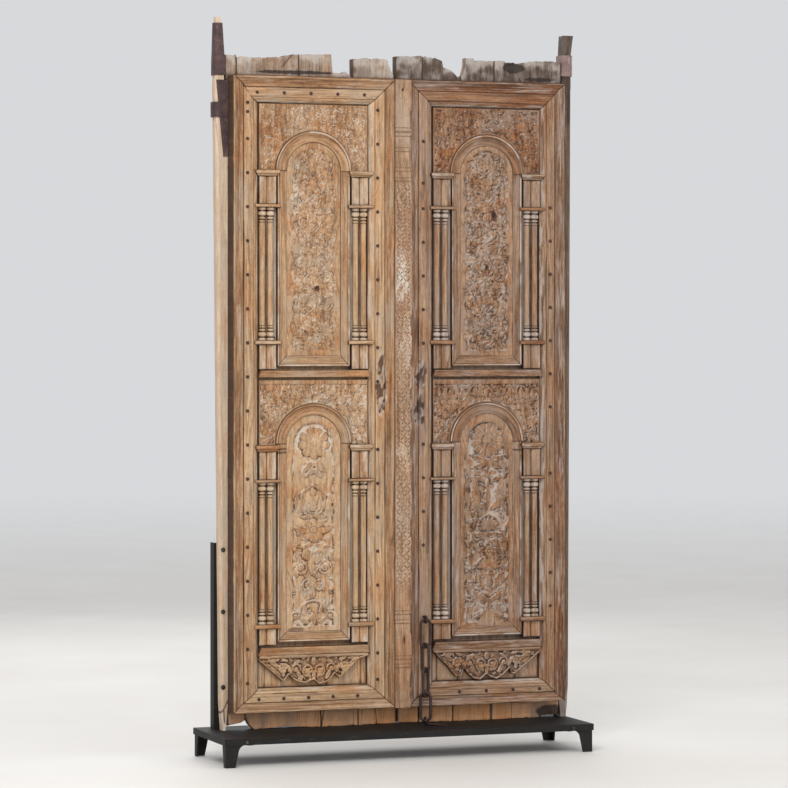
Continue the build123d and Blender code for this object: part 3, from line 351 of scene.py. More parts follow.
def oldWood(name, look):
    wood = Finish(name)
    grain = wood.read("grain")
    lime, dirtAndShade, rub = wood.split(wood.read("wear"))
    shade, warmth, stain = wood.split(wood.read("tone"))

    def noise(place, across, along, detail=3.0, rough=0.55):
        return wood.noise(wood.stretch(place, (across, along, 1)), detail, rough)

    sway = wood.node("ShaderNodeCombineXYZ", values={0: noise(grain, 0.010, 0.0016, 2.0) * 90.0})
    bent = wood.node("ShaderNodeVectorMath", dict(operation="ADD"), {0: grain, 1: sway})
    fine = noise(bent, 0.70, 0.012, 4.0, 0.65)
    broad = noise(bent, 0.15, 0.0032)
    lines = (noise(bent, 0.035, 0.0011, 1.0) * 26.0).wave() * 0.5 + 0.5
    patches = noise(grain, 0.011, 0.0045)
    mottle = noise(grain, 0.06, 0.024, 4.0, 0.62)
    speck = noise(grain, 0.34, 0.16, 4.0, 0.7)
    figure = fine * 0.32 + broad * 0.34 + lines * 0.06 + mottle * 0.24 + speck * 0.30 \
        + shade * 0.6 - 0.13
    colour = wood.ramp(figure, look["ramp"])
    colour = wood.mix(colour, look["warm"], (patches.fit(0.50, 0.68) * 0.45 + warmth).least(1.0),
                      "MULTIPLY")
    colour = wood.mix(colour, look["grey"], patches.fit(0.50, 0.32) * look["greying"])
    # weathering: long dark streaks, then lime left in the pores and hollows, then dirt with painted
    # shade
    streaks = noise(bent, 0.24, 0.0030, 4.0, 0.7).fit(0.55, 0.70)
    colour = wood.mix(colour, look["dirtAndShade"], streaks * look["streaks"])
    flecks = noise(grain, 0.40, 0.035, 4.0, 0.68)
    limed = (lime + noise(grain, 0.05, 0.014, 5.0, 0.66) * 0.55 + flecks * 0.45) \
        .fit(look["limeFrom"], look["limeTo"])
    colour = wood.mix(colour, look["lime"], limed * look["limeMost"])
    pores = noise(grain, 1.1, 0.05, 2.0).fit(0.60, 0.76)
    colour = wood.mix(colour, look["dirtAndShade"], pores * look["pores"])
    # the dirt channel also carries painted shade in creases, hollows and joints; where it is strongest
    # it turns near black
    grimeAndShade = dirtAndShade * (0.35 + mottle * 0.75 + speck * 0.55)
    colour = wood.mix(colour, look["dirtAndShade"], grimeAndShade.fit(0.06, 0.75) * 0.86)
    colour = wood.mix(colour, look["sootAndShade"], grimeAndShade.fit(0.62, 1.05) * 0.75)
    colour = wood.mix(colour, look["stain"], (stain * (0.5 + mottle)).fit(0.1, 0.8) * 0.9)
    height = fine * 0.5 + flecks * 0.4 + pores * -0.7 + mottle * 0.6 + speck * 0.4 + streaks * -0.5
    return wood.close(colour, 0.62 + limed * 0.2 + grimeAndShade * 0.1 - rub * 0.12, height,
                      look.get("depth", 0.0013), **{"Specular IOR Level": 0.30})


leftWood = oldWood("leftLeafWood", dict(
    ramp=[(0.36, 112, 80, 54), (0.45, 152, 117, 84), (0.53, 178, 143, 108),
          (0.66, 205, 174, 138)],
    warm=(240, 196, 150), grey=(172, 152, 130), greying=0.55, lime=(212, 200, 184),
    limeFrom=0.70, limeTo=1.12, limeMost=0.72, dirtAndShade=(98, 70, 48), sootAndShade=(46, 30, 20),
    stain=(76, 50, 36), pores=0.42, streaks=0.55))
rightWood = oldWood("rightLeafWood", dict(
    ramp=[(0.36, 88, 62, 44), (0.45, 124, 93, 69), (0.53, 150, 118, 91),
          (0.66, 178, 148, 120)],
    warm=(238, 190, 142), grey=(146, 124, 110), greying=0.6, lime=(196, 184, 174),
    limeFrom=0.70, limeTo=1.10, limeMost=0.72, dirtAndShade=(80, 56, 42), sootAndShade=(40, 27, 21),
    stain=(64, 44, 38), pores=0.5, streaks=0.6))
capWood = oldWood("astragalWood", dict(
    ramp=[(0.36, 120, 92, 68), (0.45, 156, 126, 98), (0.54, 178, 148, 120),
          (0.66, 202, 176, 150)],
    warm=(240, 200, 164), grey=(170, 150, 132), greying=0.5, lime=(214, 204, 190),
    limeFrom=0.74, limeTo=1.14, limeMost=0.70, dirtAndShade=(104, 76, 56), sootAndShade=(50, 33, 24),
    stain=(66, 42, 30), pores=0.45, streaks=0.5))
# its brightest stop serves the plank feet, which get painted light against the shade of the leaf
plankWood = oldWood("plankWood", dict(
    ramp=[(0.34, 80, 62, 50), (0.44, 124, 100, 82), (0.54, 156, 132, 110),
          (0.68, 184, 162, 138), (0.90, 236, 212, 184)],
    warm=(236, 188, 146), grey=(138, 124, 114), greying=0.7, lime=(200, 190, 180),
    limeFrom=0.72, limeTo=1.12, limeMost=0.6, dirtAndShade=(84, 62, 48), sootAndShade=(36, 26, 21),
    stain=(44, 31, 27), pores=0.5, streaks=0.65, depth=0.0012))
postWood = oldWood("postWood", dict(
    ramp=[(0.34, 150, 122, 98), (0.44, 190, 164, 138), (0.54, 206, 184, 160),
          (0.68, 222, 202, 180)],
    warm=(240, 208, 176), grey=(184, 168, 152), greying=0.4, lime=(222, 210, 196),
    limeFrom=0.80, limeTo=1.15, limeMost=0.6, dirtAndShade=(124, 96, 80), sootAndShade=(70, 50, 42),
    stain=(112, 86, 80), pores=0.4, streaks=0.4, depth=0.0011))
leftLeaf.update(hand="left", wood=leftWood)
rightLeaf.update(hand="right", wood=rightWood)
print("wood finishes made")


# nailed frame of each leaf

frameShape = dict(
    profile=[(0.0, 57.4), (0.015, 58.0), (0.075, 58.0), (0.09, 57.2), (0.10, 55.0), (0.13, 51.6),
             (0.18, 48.4), (0.24, 46.6), (0.31, 46.0), (0.375, 46.4), (0.395, 46.6), (0.402, 44.2),
             (0.418, 44.0), (0.43, 48.6), (0.445, 49.0), (0.60, 49.2), (0.755, 49.0), (0.772, 48.4),
             (0.782, 46.4), (0.80, 46.6), (0.83, 46.2), (0.87, 43.4), (0.91, 39.0), (0.95, 33.6),
             (0.98, 29.0), (1.0, 26.2)],
    # dark lines where the mouldings change: share of the width, strength, reach
    lines=[(0.410, 0.95, 0.016), (0.780, 0.75, 0.012), (0.092, 0.35, 0.01)],
    between=2, pitch=8.5)


def frameShares():
    places = [place for place, _ in frameShape["profile"]]
    shares = []
    for low, high in zip(places, places[1:]):
        count = 1 + (frameShape["between"] if high - low > 0.03 else 0)
        shares += [low + (high - low) * k / count for k in range(count)]
    return shares + [1.0]


def frameMember(name, corners, seed, finish, lime, look, wavy=False, scars=()):
    bar = Bar(corners, seed, pitch=(6, frameShape["pitch"]), shares=frameShares())
    bar.shape(np.interp(bar.s, *zip(*frameShape["profile"])), roundness=1.0, wobble=0.9, chips=0.0)
    bar.level = bar.level - ease(bar.x, 6, 0) * 4.5 * ease(bar.cloud(40, 46, 3), 0.58, 0.8)
    bar.level = bar.level - ease(bar.s, 0.93, 1.0) * 1.6 * bar.cloud(12, 30, 4, 2)
    if wavy:
        # the mitre swings from side to side
        swing = 9.0 * np.sin(2 * pi * np.clip(bar.s, 0, 1))
        if abs(bar.d[0] - bar.a[0]) < 1:
            bar.z = bar.z + swing * ease(bar.t, 0.93, 1.0)
        else:
            bar.u = bar.u + swing * ease(bar.t, 0.30, 0.0)
    lines = np.maximum.reduce([strength * bell(bar.s, place, reach)
                               for place, strength, reach in frameShape["lines"]])
    lines = lines * (0.35 + 0.9 * bar.cloud(25, 60, 11))
    # lime is left along the cove and the bevel, soot along the outer edge
    streak = bar.cloud(5, 260, 12)
    limed = lime * (0.15 + 0.5 * streak + 0.5 * ease(bar.cloud(5, 62, 13), 0.44, 0.64)) \
        * (0.5 + 0.9 * ease(bar.s, 0.80, 0.95) + 0.30 * ease(bar.s, 0.42, 0.30))
    sooty = lime * (ease(bar.cloud(5, 170, 14), 0.56, 0.70)
                    + 1.4 * ease(bar.s, 0.05, 0.0) * ease(bar.cloud(30, 60, 15), 0.40, 0.60))
    stain = 0 * bar.s
    for u, z, wide, high, depth, dark in scars:
        ragged = np.hypot((bar.u - u) / wide, (bar.z - z) / high) \
            + 1.1 * (clouds(bar.u, bar.z, 14, 24, 71) - 0.5)
        inside = ease(ragged, 1.05, 0.75)
        pits = ease(clouds(bar.u, bar.z, 9, 16, 73), 0.42, 0.64)
        bar.level = bar.level - depth * inside * (0.4 + 0.9 * pits)
        stain = np.maximum(stain, dark * inside * (0.48 + 0.8 * pits))
        limed = limed + 0.7 * inside * (1 - pits) * clouds(bar.u, bar.z, 7, 11, 72)
    # the cove, about a quarter of the way across, is painted darker and warmer: painted shade
    shade = look[0] + 0.10 * (streak - 0.5) + 0.08 * ease(bar.s, 0.40, 0.44) - 0.05 \
        - 0.06 * bell(bar.s, 0.24, 0.1)
    work = Work()
    bar.dress(work, limed, lines + sooty, 0.6 * bell(bar.s, 0.6, 0.15), shade,
              look[1] + 0.25 * bell(bar.s, 0.25, 0.10), stain, seam=1.8, base=0.2)
    work.build(name, finish)


def leafFrame(leaf, lime, seed, scars, looks):
    # looks: shade and warmth of each member; scars: rough worn hollows where iron once sat, as
    # (u, z, half width, half height, depth, dark)
    hand, finish = leaf["hand"], leaf["wood"]
    low, top, openLow, openTop = door["low"], door["top"], door["openLow"], door["openTop"]
    for place, outer, inner in (("outer", leaf["edge"], leaf["outer"]),
                                ("inner", leaf["meeting"], leaf["inner"])):
        frameMember(hand + "_stile_" + place,
                    ((outer, low), (inner, openLow), (inner, openTop), (outer, top)),
                    seed + len(place) + ord(place[0]), finish, lime, looks[place],
                    (hand, place) == ("left", "outer"), scars if place == "inner" else ())
    ends = sorted((leaf["meeting"], leaf["edge"]))
    inners = sorted((leaf["inner"], leaf["outer"]))
    for place, edge, inner in (("top", top, openTop), ("bottom", low, openLow)):
        frameMember(hand + "_" + place + "_rail",
                    ((ends[0], edge), (inners[0], inner), (inners[1], inner), (ends[1], edge)),
                    seed + 2 * len(place), finish, lime, looks[place],
                    (hand, place) == ("left", "top"))


leafFrame(leftLeaf, 0.42, 100,
          [(-66, 1216, 21, 100, 3.2, 0.75), (-70, 1150, 17, 30, 3.0, 0.9)],
          dict(outer=(0.02, 0.0), inner=(0.06, 0.03), top=(0.03, 0.16), bottom=(0.09, 0.0)))
leafFrame(rightLeaf, 0.50, 200,
          [(73, 1236, 20, 76, 2.2, 0.6), (66, 1122, 22, 36, 3.4, 1.0)],
          dict(outer=(0.02, 0.0), inner=(0.06, 0.03), top=(-0.04, 0.48), bottom=(0.08, 0.0)))
print("frames made")


# boards behind the carving

groundShape = dict(level=20.0, joints=dict(left=(-464, -250, -130), right=(216, 420, 140)))


def ground(leaf, seed, lime):
    c, gap = leaf["centre"], door["gap"]
    half = leaf["half"] - gap
    bar = Bar(box(c - half, c + half, door["openLow"] + gap, door["openTop"] - gap), seed,
              pitch=(5, 15))
    bar.shape(groundShape["level"], roundness=0.4, wobble=0.8, chips=0.0)
    across = np.abs(bar.u - c)
    recess, beside = 0 * bar.u, 0 * bar.u
    for order in (upperOrder, lowerOrder):
        tall = (bar.z > order["base"] - 12) & (bar.z < order["top"])
        recess = np.maximum(recess, tall * ease(across, 136, 146) * (across < 196))
        recess = np.maximum(recess, bell(bar.z, order["base"] - 1, 9))
        beside = np.maximum(beside, tall * (across > 118) * ease(across, 146, 136))
    joint = np.maximum.reduce([bell(bar.u, u, 2.6) for u in groundShape["joints"][leaf["hand"]]])
    joint = joint * (bar.z < 345)
    bar.level = bar.level - 2.0 * joint
    dark = bar.cloud(8, 40, 2)
    work = Work()
    # behind and beside the colonettes, and in a band under each order's base, the boards get painted
    # shade; low down the joints between boards are dark
    bar.dress(work, lime + recess * 0.08 + beside * 0.35,
              recess * (0.30 + 0.55 * dark) + beside * 0.4 * dark + 0.8 * joint,
              shade=0.12, rimDirtAndShade=0.9, seam=5.0, base=None)
    work.build(leaf["hand"] + "_ground", leaf["wood"])


ground(leftLeaf, 301, 0.18)
ground(rightLeaf, 302, 0.28)


# arches: archivolt, jambs and sill round each field

archShape = dict(outer=131.5, inner=93.5, jamb=125.5, middle=112,
                 profile=[(0.0, 36.6), (0.03, 37.6), (0.10, 38.0), (0.16, 36.6), (0.30, 34.6),
                          (0.50, 34.6), (0.66, 36.6), (0.74, 38.4), (0.765, 36.6), (0.80, 36.4),
                          (0.83, 39.0), (0.88, 40.0), (0.96, 39.9), (1.0, 38.6)])


def archBand(leaf, order, seed, lime, joints):
    c, inner, jamb = leaf["centre"], archShape["inner"], archShape["jamb"]
    shares, levels = zip(*archShape["profile"])
    across = np.interp(np.linspace(0, 1, 27), np.linspace(0, 1, len(shares)), shares)
    work = Work()

    def dress(bar, limes, extraDirt=0.0, shade=0.0, warmth=0.0):
        grooves = 0.9 * bell(bar.s, 0.785, 0.02) + 0.35 * bell(bar.s, 0.14, 0.03)
        left = ease(bar.cloud(30, 46, 4), 0.36, 0.62) * ease(bar.s, 0.76, 0.86)
        limed = limes * (0.3 + bar.cloud(7, 130, 3)) * (0.5 + 0.7 * left) \
            * (1 - 0.5 * ease(bar.s, 0.96, 1.0))
        bar.dress(work, limed, grooves * (0.3 + bar.cloud(20, 50, 6, 2)) + extraDirt,
                  shade=shade - 0.05 * bell(bar.s, 0.4, 0.2), warmth=warmth)

    # archivolt: a straight bar bent round the arch
    length = pi * archShape["middle"]
    arch = Bar(((0, 0), (38, 0), (38, length), (0, length)), seed, pitch=(4, 3.2), shares=across)
    arch.shape(np.interp(arch.s, shares, levels), roundness=0.8, wobble=0.6, chips=0.25)
    radius = inner + arch.s * (archShape["outer"] - inner)
    arch.u = c - radius * np.cos(pi * arch.t)
    arch.z = order["arch"] + radius * np.sin(pi * arch.t)
    dress(arch, lime, warmth=0.12)
    for side in (-1, 1):
        near, far = c + side * inner, c + side * jamb
        bar = Bar(((near, order["sillTop"]), (far, order["sill"]), (far, order["arch"]),
                   (near, order["arch"])), seed + 3 + side, pitch=(4, 6), shares=across)
        bar.shape(np.interp(bar.s, shares, levels), roundness=0.8, wobble=0.6, chips=0.3)
        cuts = [0.9 * bell(bar.z, z, 2.2) for cutSide, z in joints if cutSide == side]
        dress(bar, lime * 1.25, np.maximum.reduce([0 * bar.z] + cuts), 0.03)
    sill = Bar(((c - inner, order["sillTop"]), (c - jamb, order["sill"]), (c + jamb, order["sill"]),
                (c + inner, order["sillTop"])), seed + 9, pitch=(4, 6), shares=across)
    sill.shape(np.interp(sill.s, shares, levels), roundness=0.9, wobble=0.6, chips=0.5)
    dress(sill, lime * 1.2, shade=0.04)
    work.build(leaf["hand"] + "_" + order["place"] + "_surround", leaf["wood"])


archBand(leftLeaf, upperOrder, 401, 0.42, [(1, 1958), (1, 1905)])
archBand(leftLeaf, lowerOrder, 411, 0.40, [(-1, 1012), (-1, 1000)])
archBand(rightLeaf, upperOrder, 421, 0.45, [])
archBand(rightLeaf, lowerOrder, 431, 0.52, [(1, 1000)])
print("arches made")


# pilasters: blocks, flat bars, cornices and turned colonettes

pilaster = dict(offset=161.7, blockW=63.0, blockLevel=42.0, groove=9.0, barW=90.0, barLevel=51.0,
                corniceW=(64.0, 82.5, 74.0), corniceLength=82.0, corniceDepth=20.0,
                shaftOffset=14.2, shaftR=9.2, shaftLevel=28.5, turn=104,
                # turned rings at each end of a shaft: distance from the end, size, reach
                rings=[(3.0, 3.9, 6.4), (20.0, 4.2, 7.6), (35.0, 2.0, 2.8), (45.0, 1.5, 2.2)])


def pilasterBlocks(leaf, seed, lime):
    work = Work()
    c, span, half = leaf["centre"], leaf["half"] - door["gap"], pilaster["blockW"] / 2
    for order in (upperOrder, lowerOrder):
        for side in (-1, 1):
            middle = c + side * pilaster["offset"]
            for zLow, zHigh in ((order["base"], order["lowBar"]), (order["block"], order["cornice"])):
                seed += 1
                block = Bar(box(max(middle - half, c - span), min(middle + half, c + span),
                                zLow, zHigh), seed, pitch=(2.6, 4))
                away = np.abs(block.u - middle) / half
                slit = bell(block.u, middle, 1.5)
                block.shape(pilaster["blockLevel"] - pilaster["groove"] * (1 - np.clip(away, 0, 1))
                            - 2.5 * slit, roundness=1.2, wobble=0.5, chips=0.6)
                own = clouds(block.x * 0, block.y * 0, 1, 1, seed, 1)
                block.dress(work, lime * (0.3 + block.cloud(12, 45)) * (0.7 + 0.5 * away),
                            0.95 * slit, shade=0.04 + 0.10 * (own - 0.5), seam=2.0)
    work.build(leaf["hand"] + "_pilaster_blocks", leaf["wood"])


def pilasterBars(leaf, seed, lime, fresh):
    # flat bars over and under the colonettes, and the cornices; "fresh" bars are newer orange wood
    work = Work()
    half = pilaster["barW"] / 2
    foot, wide, crest = pilaster["corniceW"]
    length, depth = pilaster["corniceLength"], pilaster["corniceDepth"]
    for order in (upperOrder, lowerOrder):
        for side in (-1, 1):
            middle = leaf["centre"] + side * pilaster["offset"]
            for which, zLow, zHigh in (("top", order["topBar"], order["block"]),
                                       ("low", order["lowBar"], order["shaft"])):
                seed += 1
                isFresh = (order["place"], side, which) in fresh
                bar = Bar(box(middle - half, middle + half, zLow, zHigh, False), seed,
                          pitch=(1.8, 4))
                crown = np.sin(pi * np.clip(bar.s, 0, 1)) ** 0.5
                bar.shape(pilaster["barLevel"] - 3.0 + 3.0 * crown, roundness=1.6, wobble=0.6,
                          chips=0.3 if isFresh else 1.0)
                bar.dress(work, lime * 0.8 * bar.cloud(8, 20, 0, 2) * (not isFresh),
                          shade=0.02 if isFresh else 0.05, warmth=0.45 * isFresh,
                          rimDirtAndShade=0.6 if isFresh else 0.95, seam=1.6)
            seed += 1
            isFresh = (order["place"], side, "cornice") in fresh
            low, high = order["cornice"], order["top"]
            piece = Bar(box(middle - length / 2, middle + length / 2, low, high, False), seed)
            piece.s, piece.t = np.meshgrid(np.linspace(0, 1, 15), np.linspace(0, 1, 32),
                                           indexing="ij")
            piece.u = middle + (piece.t - 0.5) * np.interp(piece.s, [0, 0.25, 0.5, 0.9, 1],
                                                           [foot, foot + 9, wide, wide, crest])
            piece.z = low + piece.s * (high - low)
            piece.x, piece.y = piece.s * depth, piece.t * length
            piece.rimX = np.minimum(piece.x, depth - piece.x)
            piece.rimY = np.minimum(piece.y, length - piece.y)
            piece.shape(np.interp(piece.s, [0, 0.1, 0.3, 0.5, 0.62, 0.85, 1],
                                  [43, 44, 47, 53.4, 54, 53, 50]), roundness=1.5, wobble=0.5,
                        chips=0.9)
            # the dark band low on the flare is painted shade under the cornice's crown
            piece.dress(work, lime * (0.1 + piece.cloud(9, 25, 0, 2)) * (not isFresh),
                        0.5 * bell(piece.s, 0.33, 0.06), shade=0.02 if isFresh else 0.06,
                        warmth=0.4 * isFresh, rimDirtAndShade=0.9, seam=1.5)
    work.build(leaf["hand"] + "_cornices", leaf["wood"])


def colonettes(leaf, seed, lime):
    # only the front of a shaft is made, up to its turn to each side
    work, turn = Work(), pilaster["turn"]
    fine = np.linspace(0, 50, 40)
    for order in (upperOrder, lowerOrder):
        low, high = order["shaft"], order["topBar"]
        rows = np.concatenate([fine, np.linspace(56, high - low - 56, 44), high - low - fine[::-1]])
        up, around = np.meshgrid(low + rows, np.radians(np.linspace(-turn, turn, 17)), indexing="ij")
        near = np.minimum(up - low, high - up)
        outline = np.full_like(near, pilaster["shaftR"])
        for place, size, reach in pilaster["rings"]:
            ring = size * np.sqrt(np.clip(1 - ((near - place) / reach) ** 2, 0, 1)) - 0.2
            outline = np.maximum(outline, pilaster["shaftR"] + ring)
        outline = outline - sum(4.4 * bell(near, place, 2.4) for place in (10.8, 29.0, 40.0))
        # the turned grooves and the shaft ends get dirt with painted shade; the flanks, turning away
        # into the gaps, get painted shade
        dirtAndShade = 0.9 * sum(bell(near, place, 1.6) for place in (10.5, 29.0, 40.0, 48.5)) \
            + 0.45 * ease(np.abs(around) / radians(turn), 0.62, 0.98) + 0.6 * ease(near, 3, 0)
        for side, offset in ((-1, -1), (-1, 1), (1, -1), (1, 1)):
            seed += 1
            middle = leaf["centre"] + side * pilaster["offset"] + offset * pilaster["shaftOffset"]
            r = outline * (1 + 0.05 * (clouds(around * 9, up, 7, 16, seed, 2) - 0.5))
            limed = lime * (0.05 + 0.8 * clouds(around * 9, up, 6, 90, seed)
                            + 0.50 * ease(near, 70, 20))
            shade = 0.09 + 0.08 * (clouds(around, up, 40, 150, seed, 2) - 0.5)
            work.sheet(middle + r * np.sin(around), up, pilaster["shaftLevel"] + r * np.cos(around),
                       triple(around * 9 + 40 + 5.1 * seed, up, seed),
                       triple(limed, np.clip(dirtAndShade, 0, 1), 0.3), triple(shade, 0.05, 0))
    work.build(leaf["hand"] + "_colonettes", leaf["wood"], sharp=50)


# lime on the shafts and bars, its share on the blocks, the seed and which bars are fresh
for leaf, lime, share, seed, fresh in (
        (leftLeaf, 0.42, 1, 500,
         {("lower", -1, "top"), ("lower", -1, "low"), ("lower", 1, "low"),
          ("lower", -1, "cornice")}),
        (rightLeaf, 0.52, 0.55, 600,
         {("upper", 1, "top"), ("upper", -1, "low"), ("upper", 1, "low"), ("lower", -1, "low"),
          ("lower", 1, "low"), ("lower", 1, "top")})):
    pilasterBlocks(leaf, seed, lime * share)
    pilasterBars(leaf, seed + 20, lime, fresh)
    colonettes(leaf, seed + 60, lime)
print("pilasters made")


# middle and base rails of each leaf

# foot, height and levels across the section
railShape = dict(mid=(1246.0, 24.4, [46, 49, 50, 49.4, 46]),
                 base=(336.6, 27.6, [43.2, 44, 44.4, 49.6, 48]), overhang=4.5)


def crossRail(leaf, place, seed, lime, shade, warmth):
    z, height, levels = railShape[place]
    c, half, tip = leaf["centre"], leaf["half"] + railShape["overhang"], height / 3
    bar = Bar(((c - half, z), (c - half + tip, z + height), (c + half - tip, z + height),
               (c + half, z)), seed, pitch=(1.6, 5))
    bar.shape(np.interp(bar.s, [0, 0.08, 0.3, 0.8, 1], levels), roundness=1.6, wobble=1.0, chips=0.8)
    work = Work()
    bar.dress(work, lime * (0.2 + bar.cloud(8, 60)), shade=shade, warmth=warmth, rimDirtAndShade=0.9)
    work.build(leaf["hand"] + "_" + place + "_rail", leaf["wood"])


crossRail(leftLeaf, "mid", 701, 0.2, 0.0, 0.35)
crossRail(rightLeaf, "mid", 702, 0.35, -0.04, 0.3)
crossRail(leftLeaf, "base", 703, 0.2, 0.03, 0.2)
crossRail(rightLeaf, "base", 704, 0.4, -0.06, 0.2)
print("rails made")


# carving: heights are drawn on a grid, 0 = sunk ground, 1 = the face

class Carving:
    def __init__(self, uLow, uHigh, zLow, zHigh, step):
        self.step = step
        self.us = np.arange(uLow, uHigh + step / 2, step)
        self.zs = np.arange(zLow, zHigh + step / 2, step)
        self.u, self.z = np.meshgrid(self.us, self.zs, indexing="ij")
        self.h = np.zeros_like(self.u)
        self.limeSpot = np.zeros_like(self.u)

    def near(self, u, z, reach):
        i0, i1 = np.searchsorted(self.us, (u - reach, u + reach))
        j0, j1 = np.searchsorted(self.zs, (z - reach, z + reach))
        cut = np.s_[i0:i1, j0:j1]
        return cut, self.u[cut] - u, self.z[cut] - z

    def put(self, cut, height):
        if height.size:
            self.h[cut] = np.maximum(self.h[cut], height)

    def bead(self, u, z, r, height=0.9, dimple=0.35):
        cut, x, y = self.near(u, z, r + 2)
        d = np.hypot(x, y) / r
        dome = height * np.sqrt(np.clip(1 - 0.75 * d ** 2, 0, 1)) * (d < 1)
        self.put(cut, dome - dimple * bell(d, 0, 0.3) * (d < 1))

    def leaf(self, u, z, angle, length, width, curl=0.0, height=0.95):
        # pointed leaf with a groove for its midrib and two side veins
        cut, x, y = self.near(u, z, length * 1.15 + 2)
        a, b = cos(radians(angle)), sin(radians(angle))
        along, across = (x * a + y * b) / length, -x * b + y * a
        across = across - curl * length * np.clip(along, 0, 1.2) ** 2
        span = np.clip(along, 0, 1)
        half = width / 2 * np.sin(pi * span ** 0.72) ** 0.75 + 1e-6
        t = np.abs(across) / half
        inside = (along > 0) & (along < 1) & (t < 1)
        body = 0.28 + 0.72 * np.sqrt(np.clip(1 - t ** 2, 0, 1))
        rib = 0.34 * bell(t, 0, 0.18) * ease(along, 0.0, 0.15)
        vein = 0.20 * ease(np.sin(along * 21 + t * 2.5), 0.3, 0.8) * (width > 15)
        self.put(cut, height * (body - rib - vein) * inside)

    def twin(self, u, z, angle, length, width, curl=0.0, spread=3.0, height=0.95):
        self.leaf(u + spread, z, angle, length, width, curl, height)
        self.leaf(u - spread, z, 180 - angle, length, width, -curl, height)

    def scrolls(self, u, z, radius, turns, hand, r, spread):
        # one scroll on each side of a centre line
        for side in (-1, 1):
            self.scroll(u + side * spread, z, radius, 90, turns, side * hand, r)

    def twins(self, u, *pairs):
        # of each pair: height, angle, length, width, then curl and spread if it has them
        for z, *rest in pairs:
            self.twin(u, z, *rest)

    def stem(self, points, r=2.3, height=0.85):
        pts = np.array(points, float)
        for (u0, z0), (u1, z1) in zip(pts, pts[1:]):
            count = max(1, int(hypot(u1 - u0, z1 - z0) / 1.3))
            for k in range(count):
                u, z = u0 + (u1 - u0) * k / count, z0 + (z1 - z0) * k / count
                cut, x, y = self.near(u, z, r + 1)
                d = np.hypot(x, y) / r
                self.put(cut, height * np.sqrt(np.clip(1 - 0.8 * d ** 2, 0, 1)) * (d < 1))

    def arc(self, u, z, wide, high, turns, r=3.0, height=0.9):
        self.stem([(u + wide * cos(radians(a)), z + high * sin(radians(a))) for a in turns], r, height)

    def scroll(self, u, z, radius, start=90.0, turns=1.25, hand=1, r=2.3, eye=0.34, height=0.85):
        # spiral that winds in from its start angle to an eye
        t = np.linspace(0, 1, int(18 + 26 * turns))
        angle = np.radians(start) + hand * 2 * pi * turns * t
        reach = radius * (1 - 0.72 * t ** 0.9)
        self.stem(np.stack([u + reach * np.cos(angle), z + reach * np.sin(angle)], axis=1), r, height)
        if eye:
            self.bead(u, z, eye * radius)

    def rosette(self, u, z, radius, petals, heart=0.27, turn=0.0, cleft=0.2, height=1.0):
        # round petals with a cleft between them, each dished, round a ringed heart
        cut, x, y = self.near(u, z, radius + 3)
        d = np.hypot(x, y) / radius
        phase = (np.degrees(np.arctan2(y, x)) + turn) * petals / 360
        off = np.abs(phase - np.round(phase)) * 2
        rim = 1 - cleft * (1 - np.sqrt(np.clip(1 - off ** 2, 0, 1)))
        inside = d < rim
        dish = 0.74 + 0.26 * np.sqrt(np.clip(1 - (off / 1.02) ** 2, 0, 1)) \
            - 0.30 * bell(off, 1, 0.16) - 0.10 * bell(off, 0, 0.12)
        slope = 0.86 + 0.14 * ease(d, 0.35, 0.85)
        self.put(cut, height * dish * slope * inside * (d > heart + 0.05))
        self.bead(u, z, heart * radius, height * 0.98, 0.3)
        for k in range(petals):
            angle = radians(360 * k / petals)
            self.bead(u + 0.6 * heart * radius * cos(angle), z + 0.6 * heart * radius * sin(angle),
                      0.12 * radius, height * 0.95, 0)

    def fan(self, u, z, radius, blades, low=8.0, high=172.0, height=1.0):
        # shell of blades that opens upwards
        wide = 1.75 * radius * radians(high - low) / 2 / blades
        for k in range(blades):
            angle = low + (high - low) * k / (blades - 1)
            self.leaf(u + 0.2 * radius * cos(radians(angle)), z + 0.2 * radius * sin(radians(angle)),
                      angle, 0.8 * radius, wide, height=height)
        self.bead(u, z, 0.22 * radius)

    def sprig(self, u, z, angle, size, seed):
        # three leaves from one point
        chance = np.random.default_rng(seed)
        for turn, share in ((0, 1.0), (48, 0.75), (-48, 0.75)):
            self.leaf(u, z, angle + turn + chance.uniform(-10, 10), size * share * 0.95,
                      size * 0.40, curl=0.25 * np.sign(turn))

    def vine(self, centre, low, high, reach, pitch, seed, leafSize=17.0, r=2.2):
        # winding stem with a spiral, a flower and leaves at each bend
        chance = np.random.default_rng(seed)
        zs = np.arange(low, high, 4.0)
        sway = reach * 0.42
        self.stem([(centre + sway * sin(pi * (z - low) / pitch), z) for z in zs], r + 0.5)
        bends = int((high - low) / pitch)
        for k in range(bends):
            z = low + (k + 0.5) * pitch
            side = 1 if k % 2 == 0 else -1
            radius = pitch * chance.uniform(0.38, 0.46)
            u = centre - side * reach * chance.uniform(0.40, 0.52)
            self.scroll(u, z + 0.10 * pitch, radius, start=90 - side * 60, turns=1.1,
                        hand=side, r=r, eye=0)
            self.rosette(u, z + 0.10 * pitch, radius * 0.48, int(chance.integers(5, 8)), heart=0.34)
            for turn in range(0, 360, 45):
                if chance.random() < 0.85:
                    angle = turn + chance.uniform(-14, 14)
                    self.leaf(u + radius * cos(radians(angle)), z + radius * sin(radians(angle)),
                              angle + side * chance.uniform(20, 50), leafSize * chance.uniform(0.7, 1.1),
                              leafSize * 0.46, curl=0.3 * side)
            tip = centre + side * reach * chance.uniform(0.62, 0.78)
            self.sprig(tip - side * leafSize * 0.8, z, 90 - side * chance.uniform(50, 95),
                       leafSize * 1.15, seed + k)
            self.sprig(tip - side * leafSize * 0.4, z + pitch * 0.35, 90 + side * 20,
                       leafSize, seed + 50 + k)

    def fill(self, inside, size, count, seed, direction=None):
